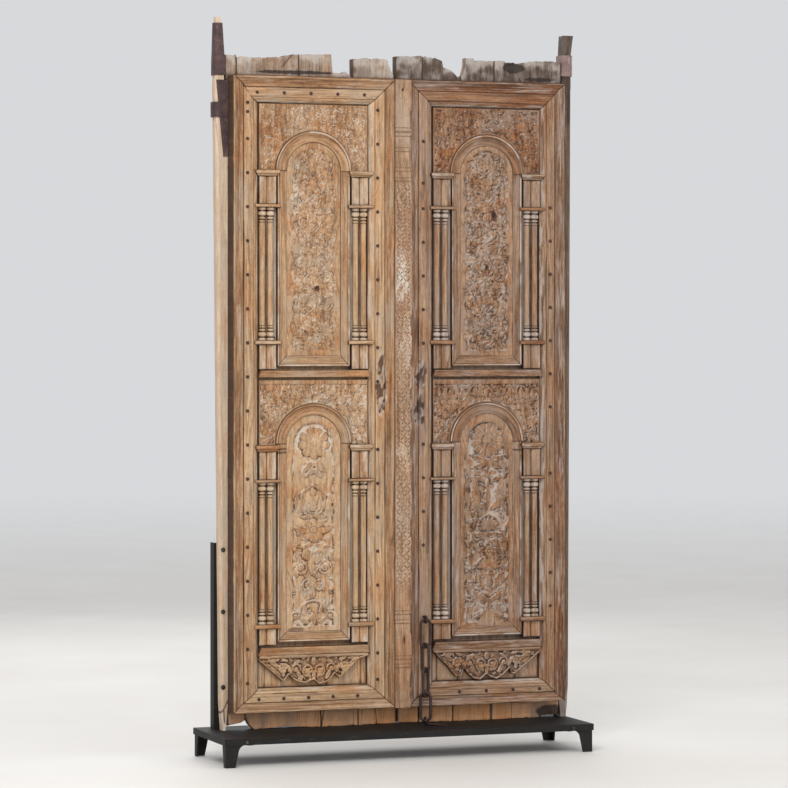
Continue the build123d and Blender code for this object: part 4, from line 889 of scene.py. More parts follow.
        # small leaves dropped where the ground is still bare
        chance = np.random.default_rng(seed)
        for _ in range(count):
            i, j = chance.integers(0, len(self.us)), chance.integers(0, len(self.zs))
            angle = chance.uniform(0, 360)
            length = size * chance.uniform(0.7, 1.2)
            bend = chance.uniform(-0.35, 0.35)
            if self.h[i, j] > 0.05 or not inside[i, j]:
                continue
            if direction is not None:
                angle = direction(self.us[i], self.zs[j]) + (angle - 180) * 0.22
            self.leaf(self.us[i], self.zs[j], angle, length, length * 0.45, bend)

    def into(self, work, seed, look, keep, finishNotes=None, base=None):
        # soft worn relief; lime clings to its walls, dirt with painted shade lies in the tight creases
        # and deep hollows
        h = np.clip(self.h, 0, 1)
        h = (1 - look["soft"]) * h + look["soft"] * blur(h, 1)
        swell = clouds(self.u, self.z, 30, 44, seed + 3, 2) - 0.5
        tooled = clouds(self.u, self.z, 6, 8, seed + 1, 3) - 0.5
        level = look["sunk"] + (look["face"] - look["sunk"]) * h * (1 + 0.45 * swell) \
            + look["tooling"] * tooled
        rise, run = np.gradient(h, self.step)
        wall = ease(np.hypot(rise, run), 0.05, 0.13) * ease(h, 0.92, 0.55)
        tight = blur(level, 1) - level
        wide = blur(level, int(round(6 / self.step))) - level
        patchy = clouds(self.u, self.z, 20, 30, seed + 2, 3)
        broad = clouds(self.u, self.z, 70, 110, seed + 6, 2)
        broken = ease(clouds(self.u, self.z, 7, 9, seed + 8, 2), 0.22, 0.55)
        limed = look["lines"] * wall * broken * ease(patchy, 0.22, 0.48) \
            + look["wash"] * np.clip(wide / 1.5, 0, 1) * (0.3 + 1.2 * broad) \
            + look["haze"] * broad + self.limeSpot
        # crease and deep darken the tight creases and the wide hollows: painted shade with some dirt
        crease = np.clip(tight / look["crease"], 0, 1) \
            * ease(clouds(self.u, self.z, 12, 16, seed + 7, 3), 0.36, 0.62)
        deep = np.clip((wide - 1.4) / 2.0, 0, 1)
        dirtAndShade = np.clip(look["dirtAndShade"] * (crease + 0.5 * deep * tooled + 0.25 * deep), 0, 1)
        rub = np.clip(-wide / 1.8, 0, 1)
        grain = triple(self.u + 900 + 11.0 * seed, 3.2 * self.z, 2.7 * seed)
        wear = triple(limed * (1 - 0.5 * dirtAndShade), dirtAndShade, rub)
        tone = triple(look["shade"] - 0.05 * rub + 0.12 * (broad - 0.5) - look["dull"] * (1 - h),
                      look["warmth"] + 0.15 * rub, 0)
        if finishNotes is not None:
            level = finishNotes(self, level, wear, tone)
        work.sheet(self.u, self.z, level, grain, wear, tone, keep=keep, base=base)


def cellsInside(mask):
    # the cells whose four corners all count
    return mask[:-1, :-1] & mask[1:, :-1] & mask[1:, 1:] & mask[:-1, 1:]


def marks(spots):
    # knots, holes and stains: (u, z, radius across, radius along, depth, dark); the note that
    # comes back changes a carving's tone and gives its new level
    def note(carving, level, wear, tone):
        for u, z, wide, high, depth, dark in spots:
            d = np.hypot((carving.u - u) / wide, (carving.z - z) / high)
            d = d + 0.35 * (clouds(carving.u, carving.z, 5, 6, 5, 2) - 0.5)
            hole = ease(d, 1.0, 0.45)
            level = level - depth * hole
            tone[..., 2] = np.maximum(tone[..., 2], dark * ease(d, 1.5, 0.6))
        return level
    return note


fieldShape = dict(half=95.5, step=2.0, under=2.0, rim=1.8)


def fieldStart(leaf, order, margin, cusps):
    # the plain rim of a field, with cusps along its inner line
    c, half = leaf["centre"], fieldShape["half"]
    art = Carving(c - half, c + half, order["sillTop"] - fieldShape["under"], order["arch"] + half,
                  fieldShape["step"])
    up = art.z - order["arch"]
    fromArch = np.where(up > 0, half - np.hypot(art.u - c, up), half - np.abs(art.u - c))
    fromEdge = np.minimum(fromArch, art.z - order["sillTop"] + 6)
    edge = margin + cusps(art)
    art.h = ease(fromEdge, edge + fieldShape["rim"], edge)
    return art, c, fromEdge - edge, cellsInside(fromArch > 0)


def field(leaf, order, seed, look, cusps, draw, spots=()):
    art, c, inside, keep = fieldStart(leaf, order, look["margin"], cusps)
    draw(art, c, inside)
    work = Work()
    art.into(work, seed, look, keep, marks([(c + out, *rest) for out, *rest in spots]))
    work.build(leaf["hand"] + "_" + order["place"] + "_field", leaf["wood"])


def upperLeft(art, c, inside):
    art.vine(c - 2, 1345, 1960, 64, 62, 11, 18)
    art.fan(c, 1345, 34, 7, 15, 165)
    art.fill(inside > 2, 15, 900, 12)
    art.limeSpot = 0.30 * ease(c - 20 - art.u, 0, 50) * ease(art.z, 1640, 1700) \
        * clouds(art.u, art.z, 20, 60, 13, 3)


def upperRight(art, c, inside):
    art.rosette(c + 4, 1962, 24, 8)
    art.twin(c + 4, 1935, 20, 42, 18, 0.3)
    art.rosette(c - 4, 1890, 21, 7)
    art.rosette(c - 6, 1812, 20, 7)
    art.bead(c + 4, 1778, 15, 1.0, 0.2)
    art.fan(c + 4, 1492, 30, 7)
    art.vine(c, 1345, 1940, 66, 58, 21, 18)
    art.fill(inside > 2, 15, 1100, 22)


def lowerLeft(art, c, inside):
    # from the top: rosette in beads, palmette, vase with leaves, flowers, scrolls
    art.rosette(c + 3, 1030, 53, 9, turn=10, cleft=0.30)
    art.rosette(c + 3, 1030, 30, 9, heart=0.4, turn=30, height=0.96)
    for k in range(7):
        art.bead(c + 66 * cos(radians(20 + 23 * k)), 1042 + 62 * sin(radians(20 + 23 * k)), 9, 0.7, 0.3)
    art.twins(c + 2, (966, -28, 50, 22, -0.25), (948, -62, 40, 17, 0.2), (935, 38, 30, 14, 0.3))
    art.bead(c + 2, 938, 8)
    art.stem([(c + 26 * sin(radians(a)) * (1.6 if 40 < a < 320 else 1.2), 840 + 50 * cos(radians(a)))
              for a in range(0, 361, 8)], 4.2, 0.95)
    art.twins(c, (800, 70, 66, 20, 0.2, 46), (830, 30, 24, 12, -0.3, 50))
    art.bead(c, 868, 12, 1.0, 0.2)
    art.leaf(c, 806, 90, 52, 19)
    art.twins(c, (806, 62, 30, 11, 0.3), (790, -20, 42, 15, 0.35))
    art.rosette(c + 2, 743, 40, 8, heart=0.3, cleft=0.34)
    art.twins(c + 2, (735, 12, 62, 15, 0.3, 22), (700, -30, 54, 16, 0.35))
    art.rosette(c - 22, 664, 18, 5, heart=0.3)
    art.twin(c, 668, 18, 44, 16, 0.3)
    for side in (-1, 1):
        art.stem([(c + side * 3, 512), (c + side * 20, 508), (c + side * 38, 492),
                  (c + side * 46, 470), (c + side * 58, 452)], 3.6, 0.95)
        art.scroll(c + side * 62, 462, 17, 180 if side > 0 else 0, 1.1, -side, 3.2)
    art.scrolls(c, 618, 24, 1.3, 1, 3.2, spread=42)
    art.scrolls(c, 562, 20, 1.2, -1, 3.2, spread=20)
    art.twins(c, (590, 50, 34, 13, 0.3, 52), (642, 100, 30, 12, -0.3, 62),
              (545, 30, 26, 11, 0.3, 58), (470, 60, 34, 13, 0.3, 22), (440, 16, 40, 14, 0.2, 14))
    art.leaf(c, 520, 90, 44, 18)
    art.twin(c, 596, 60, 28, 12)
    art.leaf(c, 430, 90, 46, 18)
    art.fill((inside > 3) & (art.z < 780), 14, 240, 32)
    art.limeSpot = 0.50 * np.exp(-(((art.u - c - 3) / 62) ** 2 + ((art.z - 1040) / 52) ** 2) ** 3) \
        * (1 - art.h) * ease(clouds(art.u, art.z, 24, 30, 35, 2), 0.25, 0.5) \
        + 0.20 * ease(art.z, 640, 520) * clouds(art.u, art.z, 30, 60, 33, 3)


def lowerRight(art, c, inside):
    # from the top: rosette, palmette, two broad leaves, two shells, scrolls over a mound
    art.rosette(c + 5, 1034, 58, 13, heart=0.28, cleft=0.22)
    for k in range(26):
        a = radians(360 * k / 26)
        art.bead(c + 5 + 20 * cos(a), 1034 + 20 * sin(a), 2.6, 1.0, 0)
    art.twins(c + 6, (968, -2, 62, 24, 0.32), (962, -34, 58, 20, 0.25), (960, 32, 34, 15, 0.3))
    art.bead(c + 6, 964, 9)
    art.leaf(c + 6, 962, 270, 40, 14)
    art.leaf(c - 34, 812, 92, 104, 34, 0.08)
    art.leaf(c + 46, 812, 88, 104, 34, -0.08)
    art.leaf(c + 6, 810, 90, 100, 22)
    art.twin(c + 6, 896, 30, 52, 17, -0.3, spread=10)
    art.scrolls(c + 6, 862, 15, 1.0, 1, 2.6, spread=52)
    art.twin(c + 6, 800, 104, 46, 15, 0.3, spread=58)
    art.scrolls(c + 8, 786, 15, 1.0, -1, 2.6, spread=44)
    art.twin(c + 8, 800, 42, 54, 20, -0.3)
    art.fan(c + 9, 738, 42, 9, 0, 180)
    art.arc(c + 9, 738, 40, 44, range(-8, 189, 8))
    art.twin(c + 9, 722, -18, 58, 18, 0.3)
    art.scrolls(c + 9, 684, 19, 1.3, 1, 2.8, spread=26)
    art.twins(c + 9, (690, 70, 38, 14, 0.3, 52), (640, 120, 34, 13, -0.3, 56))
    art.rosette(c + 9, 662, 17, 6)
    art.fan(c + 10, 606, 44, 9, 5, 175)
    art.arc(c + 10, 604, 46, 40, range(0, 181, 8))
    art.leaf(c + 10, 540, 90, 62, 24)
    art.twins(c + 10, (532, 56, 62, 20, 0.3, 16), (556, 78, 44, 15, 0.3, 44))
    art.scrolls(c + 10, 522, 15, 1.1, 1, 2.6, spread=40)
    art.twins(c + 10, (500, 28, 50, 16, 0.25, 20), (480, 110, 40, 14, -0.3, 54),
              (496, 24, 44, 16, 0.25))
    art.leaf(c + 9, 456, 90, 52, 22)
    mound = ease(418 + 46 * bell(art.u, c + 10, 34) - art.z, 0, 2.5)
    art.h = np.maximum(art.h, 0.96 * mound)
    art.twin(c + 9, 462, -30, 66, 12, 0.1)
    art.fill((inside > 3) & (art.z < 940), 13, 520, 42)
    art.limeSpot = 0.5 * (1 - art.h) * ease(np.hypot(art.u - c - 5, art.z - 1034), 90, 66) \
        + 0.16 * (1 - art.h) * ease(clouds(art.u, art.z, 26, 34, 45, 3), 0.45, 0.62)


def cusped(art):
    waves = [9 * np.clip(1 - np.abs(art.z - z) / 24, 0, 1) ** 2
             for z in (900, 830, 748, 647, 571, 502)]
    return np.maximum.reduce(waves) - 5 + 14 * ease(art.z, 965, 1000)


# margin = plain rim, sunk and face = levels, the rest = how lime, dirt and light lie on the relief
field(leftLeaf, upperOrder, 14,
      dict(margin=22, sunk=28.6, face=34.2, soft=0.40, tooling=1.3, lines=0.56, wash=0.18,
           haze=0.08, dirtAndShade=0.55, crease=0.7, shade=0.04, warmth=0.06, dull=0.0),
      lambda art: 3.5 * np.sin(art.z / 9.5) + 3 * np.sin(art.z / 23.0), upperLeft,
      [(14, 1539, 9, 9, 5, 0.9), (2, 1915, 11, 12, 0.8, 0.55), (32, 1650, 3, 3, 2, 0.8),
       (36, 1500, 5, 16, 0.4, 0.45), (-26, 1392, 7, 9, 0.4, 0.4)])
field(rightLeaf, upperOrder, 24,
      dict(margin=19, sunk=26.8, face=35.8, soft=0.30, tooling=1.4, lines=0.80, wash=0.26,
           haze=0.10, dirtAndShade=0.52, crease=0.9, shade=0.12, warmth=0.06, dull=0.0),
      lambda art: 3.5 * np.sin(art.z / 8.5) + 3 * np.sin(art.z / 19.0), upperRight,
      [(28, 1785, 9, 14, 5, 0.95), (2, 1612, 5, 9, 3, 0.8), (-20, 1620, 4, 6, 3, 0.7)])
field(leftLeaf, lowerOrder, 34,
      dict(margin=21, sunk=27.4, face=35.0, soft=0.40, tooling=1.2, lines=0.56, wash=0.26,
           haze=0.22, dirtAndShade=0.66, crease=0.7, shade=0.11, warmth=0.0, dull=-0.02),
      lambda art: 6 * ease(art.z, 960, 1010) + 4 * np.abs(np.sin(art.z / 17.0)) * (art.z < 960),
      lowerLeft, [(-60, 417, 34, 9, 3.0, 0.5)])
field(rightLeaf, lowerOrder, 44,
      dict(margin=20, sunk=26.0, face=36.4, soft=0.30, tooling=1.4, lines=0.86, wash=0.26,
           haze=0.12, dirtAndShade=0.54, crease=0.9, shade=0.08, warmth=0.06, dull=0.03),
      cusped, lowerRight)
print("fields carved")


# spandrels

spandrelShape = dict(step=1.9, arch=131.5, under=3.5, rim=1.6)


def spandrel(leaf, order, draw, seed, rim, look):
    c, half, top = leaf["centre"], leaf["half"] - door["gap"], order["spandrelTop"]
    low = order["top"] + door["gap"]
    art = Carving(c - half, c + half, low, top, spandrelShape["step"])
    art.us = np.linspace(c - half, c + half, len(art.us))
    art.zs = np.linspace(low, top, len(art.zs))
    art.u, art.z = np.meshgrid(art.us, art.zs, indexing="ij")
    fromArch = np.hypot(art.u - c, art.z - order["arch"]) - spandrelShape["arch"]
    fromEdge = np.minimum.reduce([half - np.abs(art.u - c), top - art.z, fromArch])
    art.h = ease(fromEdge, rim + spandrelShape["rim"], rim)
    draw(art, c, order, fromEdge > rim)

    # the spandrel's edges, where it meets the arch and the frame, are darkened: dirt with painted shade
    def rimDirtAndShade(carving, level, wear, tone):
        wear[..., 1] = np.maximum(wear[..., 1], 0.9 * bell(fromEdge, 0, 2.2))
        return level

    work = Work()
    art.into(work, seed, look, cellsInside(fromArch > -spandrelShape["under"]), rimDirtAndShade,
             base=door["rear"])
    work.build(leaf["hand"] + "_" + order["place"] + "_spandrel", leaf["wood"])


def aroundArch(c, order):
    # growth that follows the arch up to its crown
    def direction(u, z):
        angle = np.degrees(atan2(z - order["arch"], u - c))
        return angle + (55 if u < c else -55)
    return direction


def denseLeaves(art, c, order, inside):
    for side in (-1, 1):
        art.rosette(c + side * 148, 2092, 22, 7, cleft=0.3)
    art.scrolls(c, 2018, 22, 1.2, 1, 2.6, spread=150)
    art.scrolls(c, 2108, 20, 1.2, -1, 2.6, spread=92)
    art.scrolls(c, 2108, 17, 1.1, 1, 2.4, spread=40)
    art.fill(inside, 25, 700, 51, aroundArch(c, order))
    art.fill(inside, 14, 600, 52)


def faintLeaves(art, c, order, inside):
    art.rosette(c - 10, 2112, 13, 6)
    for side in (-1, 1):
        art.rosette(c + side * 150, 2052, 15, 6)
    art.scrolls(c, 2096, 20, 1.3, 1, 2.0, spread=70)
    art.scrolls(c, 2088, 24, 1.3, -1, 2.0, spread=125)
    art.scrolls(c, 2010, 20, 1.2, 1, 2.0, spread=158)
    art.fill(inside, 20, 420, 61, aroundArch(c, order))
    art.fill(inside, 11, 400, 62)


def leafRow(art, c, order, inside):
    # plain strip along the top, a row of small lobes under it, then corner scrolls
    strip = order["spandrelTop"] - 16
    art.h = np.maximum(art.h, ease(art.z, strip - 1.6, strip))
    for k in range(-9, 10):
        art.leaf(c + 19.5 * k, strip - 1, 270, 22, 15)
        art.bead(c + 19.5 * k + 9.7, strip - 20, 4, 0.8)
    for side in (-1, 1):
        art.rosette(c + side * 168, 1072, 14, 6)
        art.rosette(c + side * 138, 1168, 9, 6)
    art.scrolls(c, 1168, 20, 1.3, 1, 2.3, spread=138)
    art.scrolls(c, 1120, 20, 1.3, -1, 2.3, spread=160)
    art.scrolls(c, 1182, 15, 1.2, 1, 2.1, spread=98)
    art.fill(inside, 22, 520, 71, aroundArch(c, order))
    art.fill(inside, 13, 460, 72)


def flowerRow(art, c, order, inside):
    strip = order["spandrelTop"] - 17
    art.h = np.maximum(art.h, ease(art.z, strip - 1.6, strip))
    for side in (-1, 1):
        art.rosette(c + side * 132, 1162, 34, 8, heart=0.28, cleft=0.5)
        art.rosette(c + side * 163, 1092, 17, 7, heart=0.3, cleft=0.4)
    art.scrolls(c, 1176, 16, 1.2, 1, 2.6, spread=90)
    art.scrolls(c, 1128, 13, 1.1, -1, 2.4, spread=170)
    art.twins(c, (1118, -10, 34, 14, 0.3, 128), (1060, 110, 34, 14, 0.3, 178))
    for k in range(-4, 5):
        middle = c + 42 * k
        art.arc(middle, strip - 27, 17, 20, range(-30, 211, 12), 2.4, 0.95)
        art.leaf(middle, strip - 44, 90, 34, 15)
        art.leaf(middle + 21, strip - 14, 270, 26, 11)
        art.bead(middle + 21, strip - 6, 5, 0.95, 0.2)
    art.fill(inside, 25, 300, 81, aroundArch(c, order))
    art.fill(inside, 14, 420, 82)


spandrel(leftLeaf, upperOrder, faintLeaves, 91, 9,
         dict(sunk=31.6, face=35.6, soft=0.5, tooling=1.3, lines=0.46, wash=0.16, haze=0.12,
              dirtAndShade=0.5, crease=0.5, shade=-0.02, warmth=0.14, dull=0.0))
spandrel(rightLeaf, upperOrder, denseLeaves, 92, 7,
         dict(sunk=29.8, face=36.0, soft=0.35, tooling=1.2, lines=0.58, wash=0.10, haze=0.02,
              dirtAndShade=0.66, crease=0.9, shade=0.03, warmth=0.34, dull=0.02))
spandrel(leftLeaf, lowerOrder, leafRow, 93, 5,
         dict(sunk=30.4, face=35.8, soft=0.40, tooling=1.3, lines=0.52, wash=0.20, haze=0.16,
              dirtAndShade=0.60, crease=0.9, shade=0.03, warmth=0.04, dull=0.0))
spandrel(rightLeaf, lowerOrder, flowerRow, 94, 5,
         dict(sunk=29.0, face=36.4, soft=0.30, tooling=1.0, lines=0.78, wash=0.14, haze=0.06,
              dirtAndShade=0.65, crease=1.1, shade=0.09, warmth=0.12, dull=0.0))
print("spandrels carved")


# aprons under the base rails

apronShape = dict(
    top=336.3, level=40.0, relief=9.5, step=1.8,
    left=[(-488, 322), (-484, 317), (-409, 253), (-404, 250), (-389, 268), (-384, 272), (-370, 256),
          (-352, 246), (-328, 241), (-309, 250), (-300, 252), (-281, 238), (-262, 240), (-246, 248),
          (-231, 266), (-227, 271), (-213, 258), (-208, 256), (-144, 316), (-109, 326)],
    right=[(119, 330), (129, 326), (139, 311), (169, 285), (197, 249), (202, 246), (220, 247),
           (227, 271), (233, 270), (247, 250), (267, 236), (288, 232), (305, 246), (312, 249),
           (325, 240), (347, 232), (372, 246), (388, 262), (394, 268), (400, 250), (410, 246),
           (455, 279), (501, 316), (506, 322)])


def apron(leaf, seed, lime, shade):
    c, half, step = leaf["centre"], leaf["half"] - 1.5, apronShape["step"]
    us = np.arange(c - half, c + half + step / 2, step)
    foot = np.minimum(np.interp(us, *zip(*apronShape[leaf["hand"]])), apronShape["top"] - 8)
    rows = np.linspace(0, 1, 54)
    art = Carving(c - half, c + half, 232, 338, step)
    for side in (-1, 1):
        art.scroll(c + side * 19, 286, 21, 270 + side * 20, 1.3, side, 3.4)
        art.scroll(c + side * 62, 292, 17, 200 if side > 0 else -20, 1.1, -side, 3.0)
        art.rosette(c + side * 108, 296, 17, 7, heart=0.32)
        art.leaf(c + side * 104, 266, 90 - side * 6, 22, 12)
    art.twins(c, (262, 38, 44, 15, 0.35, 10), (254, 50, 46, 15, 0.3, 40),
              (318, -20, 36, 13, -0.3, 46), (276, 78, 40, 14, -0.3, 78),
              (300, 26, 46, 16, 0.25, 122), (322, 2, 50, 12, -0.15, 118), (318, 6, 28, 12, 0.2, 88))
    art.leaf(c, 300, 90, 34, 16)
    art.leaf(c, 286, 270, 42, 15)
    art.fill(np.ones_like(art.u, bool), 14, 160, seed)
    art.h = np.maximum(art.h, ease(art.z, 326, 330))
    u = np.repeat(us[:, None], len(rows), axis=1)
    z = foot[:, None] + rows[None, :] * (apronShape["top"] - foot[:, None])
    i = np.clip(np.searchsorted(art.us, u), 0, len(art.us) - 1)
    j = np.clip(np.searchsorted(art.zs, z), 0, len(art.zs) - 1)
    rise = z - foot[:, None]
    h = np.maximum(art.h[i, j], ease(rise, 7.5, 5.5))
    rough = clouds(u, z, 8, 10, seed + 1, 3)
    soft = blur(h, 1)
    level = apronShape["level"] + apronShape["relief"] * (0.6 * h + 0.4 * soft - 0.62) - rough
    level = level - 4.0 * (1 - ease(rise, 0, 4.5)) ** 2
    hollow = blur(h, 4) - h
    limed = lime * (0.1 + 0.8 * ease(np.hypot(*np.gradient(soft)), 0.06, 0.2)) * rough * 1.6
    # the hollows and the cut foot edge get dirt with painted shade
    dirtAndShade = 1.9 * np.clip(hollow, 0, 1) * (0.5 + rough) + 0.7 * bell(rise, 0, 1.8)
    rub = np.clip(-hollow * 2, 0, 1)
    work = Work()
    work.sheet(u, z, level, triple(z + 400 + 9.0 * seed, u + 1000, seed),
               triple(limed, np.clip(dirtAndShade, 0, 1), rub), triple(shade - 0.08 * rub, 0.12, 0),
               base=door["rear"])
    work.build(leaf["hand"] + "_apron", leaf["wood"])


apron(leftLeaf, 801, 0.50, 0.09)
apron(rightLeaf, 802, 0.66, 0.10)


# astragal over the meeting edges

capShape = dict(centre=5.5, width=59.0, base=57.8, level=66.0, top=68.0, braidLow=545.0,
                braidHigh=1890.0, pitch=25.0,
                bands=(291, 318, 437, 467, 1900, 1933, 1999, 2049, 2065))


def astragal():
    c, half = capShape["centre"], capShape["width"] / 2
    art = Carving(c - half, c + half, door["low"], door["top"] - 1, 2.0)
    art.us = np.linspace(c - half, c + half, 31)
    art.u, art.z = np.meshgrid(art.us, art.zs, indexing="ij")
    art.h = np.zeros_like(art.u)
    art.limeSpot = np.zeros_like(art.u)
    x = (art.u - c) / half
    # braid: slanting strands that pass over and under each other
    inBraid = ease(art.z, capShape["braidLow"], capShape["braidLow"] + 12) \
        * ease(art.z, capShape["braidHigh"], capShape["braidHigh"] - 12)
    bend = 0.30 * (clouds(art.u, art.z, 30, 40, 904, 2) - 0.5)
    right = (art.z + 1.05 * (art.u - c)) / capShape["pitch"] + bend
    left = (art.z - 1.05 * (art.u - c)) / capShape["pitch"] - bend
    over = (np.floor(right) + np.floor(left)) % 2 == 0
    across = np.where(over, right - np.floor(right), left - np.floor(left)) * 2 - 1
    along = np.where(over, left - np.floor(left), right - np.floor(right)) * 2 - 1
    strand = np.sqrt(np.clip(1 - 0.94 * across ** 2, 0, 1)) * (1 - 0.50 * along ** 4)
    slits = inBraid * ease(np.abs(along), 0.60, 0.85) * ease(np.abs(across), 0.9, 0.4) \
        * ease(clouds(art.u, art.z, 10, 14, 906, 2), 0.22, 0.42) * (np.abs(x) < 0.84)
    valleys = inBraid * ease(np.abs(across), 0.62, 0.95) * (1 - slits)
    rim = ease(np.abs(x), 0.80, 0.88)
    woven = np.maximum(strand * (1 - rim), rim * 0.9)
    shape = 0.78 + inBraid * (woven - 0.78)
    groove = bell(np.abs(x), 0.80, 0.035)
    shape = shape - 0.25 * groove
    bands = np.zeros_like(x)
    for z in capShape["bands"]:
        shape = shape + 0.3 * bell(art.z, z, 4.0)
        bands = np.maximum(bands, bell(np.abs(art.z - z), 6, 1.8))
    ragged = clouds(art.u, art.z, 12, 16, 901, 3)
    chewed = ease(x, 0.72, 1.0) * ease(clouds(art.u, art.z, 30, 34, 902, 3), 0.50, 0.72)
    level = capShape["level"] + 3.0 * (shape - 0.5) - 0.8 * ragged - 4.0 * chewed
    level = level - 5.0 * ease(np.abs(x), 0.93, 1.0) ** 2
    u = art.u - chewed * 3.2 * (x > 0)
    slot = np.exp(-((art.u - c - 2) / 4) ** 2 - ((art.z - 377) / 15) ** 2)
    hole = np.exp(-((art.u - c + 3) / 4) ** 2 - ((art.z - 2197) / 6) ** 2)
    scuffs = ease(clouds(art.u, art.z, 40, 90, 903, 3), 0.5, 0.7)
    level = np.minimum(level, capShape["top"] - 0.1) - 2.5 * slot - 4 * hole
    hollow = blur(level, 2) - level
    pale = 0.30 * inBraid * ragged * bell(art.z, 1575, 210)
    limed = 0.36 * valleys * (0.4 + ragged) + pale + 0.26 * inBraid * ragged * (0.4 + scuffs) \
        + 0.20 * scuffs * ragged
    # dirt with painted shade in the slits where the strands cross, the hollows, the groove and beside
    # the bands; painted shadow along the side edges, where the cap falls away into the gap
    dirtAndShade = 0.35 * np.clip(hollow / 0.7, 0, 1) * (0.4 + ragged) + 0.95 * slits + 0.3 * groove \
        + 0.6 * bands + 0.6 * ease(np.abs(x), 0.95, 1.0)
    low = ease(art.z, 560, 480)
    work = Work()
    work.sheet(u, art.z, level, triple(art.u + 3000, art.z, 8.8),
               triple(limed, np.clip(dirtAndShade, 0, 1), 0.3),
               triple(-0.09 + 0.06 * scuffs + 0.06 * inBraid + 0.06 * low, 0.12 + 0.06 * low,
                      np.clip(slot + hole, 0, 1)), base=capShape["base"])
    # the strip between the two leaves that carries the cap
    body = Bar(box(leftLeaf["meeting"] + door["gap"], rightLeaf["meeting"] - door["gap"], door["low"],
                   door["top"] - 1), 905, pitch=(8, 40))
    body.shape(capShape["base"], roundness=0.5, wobble=0.0, chips=0)
    body.dress(work, rimDirtAndShade=1.0, seam=2.0, base=0.4)
    work.build("astragal", capWood)


astragal()
print("aprons and astragal carved")


# planks: the broken ends show over and under the frame, the backs show behind

plankShape = dict(thick=38.0, seam=1.2, neckStep=13.4)
plankRows = dict(
    left=[dict(meeting=(-4.0, 2.0), edge=leftLeaf["edge"], side=leftLeaf["side"]),
          dict(top=[(0.000, 15.5), (0.019, 32.5), (0.035, 54.5), (0.036, 65.5), (0.059, 71.5),
                    (0.248, 71.5)], foot=[(0.000, 1.5), (0.226, 0.0)]),
          dict(top=[(0.248, 7.5), (0.257, 6.5), (0.272, 15.5), (0.292, 25.5), (0.316, 18.5),
                    (0.369, 20.5), (0.376, 80.5), (0.571, 77.5)], foot=[(0.226, 0.5), (0.447, 0.0)]),
          dict(top=[(0.571, 77.5), (0.608, 76.5), (0.720, 65.5), (0.855, 63.5), (0.936, 67.5)],
               foot=[(0.447, 0.5), (0.507, 0.0), (0.653, 6.5), (0.779, 2.5), (0.843, 0.0),
                     (0.872, 16.5), (0.898, 47.5)]),
          dict(top=[(0.936, 70.5), (1.000, 69.5)],
               foot=[(0.898, 31.5), (0.925, 23.5), (0.987, 17.5), (1.000, 15.5)])],
    right=[dict(meeting=(3.0, 8.0), edge=rightLeaf["edge"], side=rightLeaf["side"]),
           dict(top=[(0.000, 80.5), (0.158, 85.0)], foot=[(0.000, 4.5), (0.129, 1.5)]),
           dict(top=[(0.158, 84.5), (0.234, 79.5), (0.277, 71.5), (0.285, 49.5), (0.319, 43.5),
                     (0.353, 29.5), (0.375, 13.5), (0.389, 17.5)],
                foot=[(0.129, 2.5), (0.339, 0.0)]),
           dict(top=[(0.389, 18.5), (0.406, 30.5), (0.418, 51.5), (0.421, 82.5), (0.467, 81.5),
                     (0.468, 74.5), (0.591, 75.5)], foot=[(0.339, 0.5), (0.580, 0.0)]),
           dict(top=[(0.591, 75.5), (0.652, 76.5), (0.660, 70.5), (0.772, 71.5), (0.818, 77.5),
                     (0.917, 79.5), (1.000, 78.5)],
                foot=[(0.580, 0.0), (0.762, 1.5), (0.889, 0.0), (0.891, 7.5), (1.000, 9.5)])])


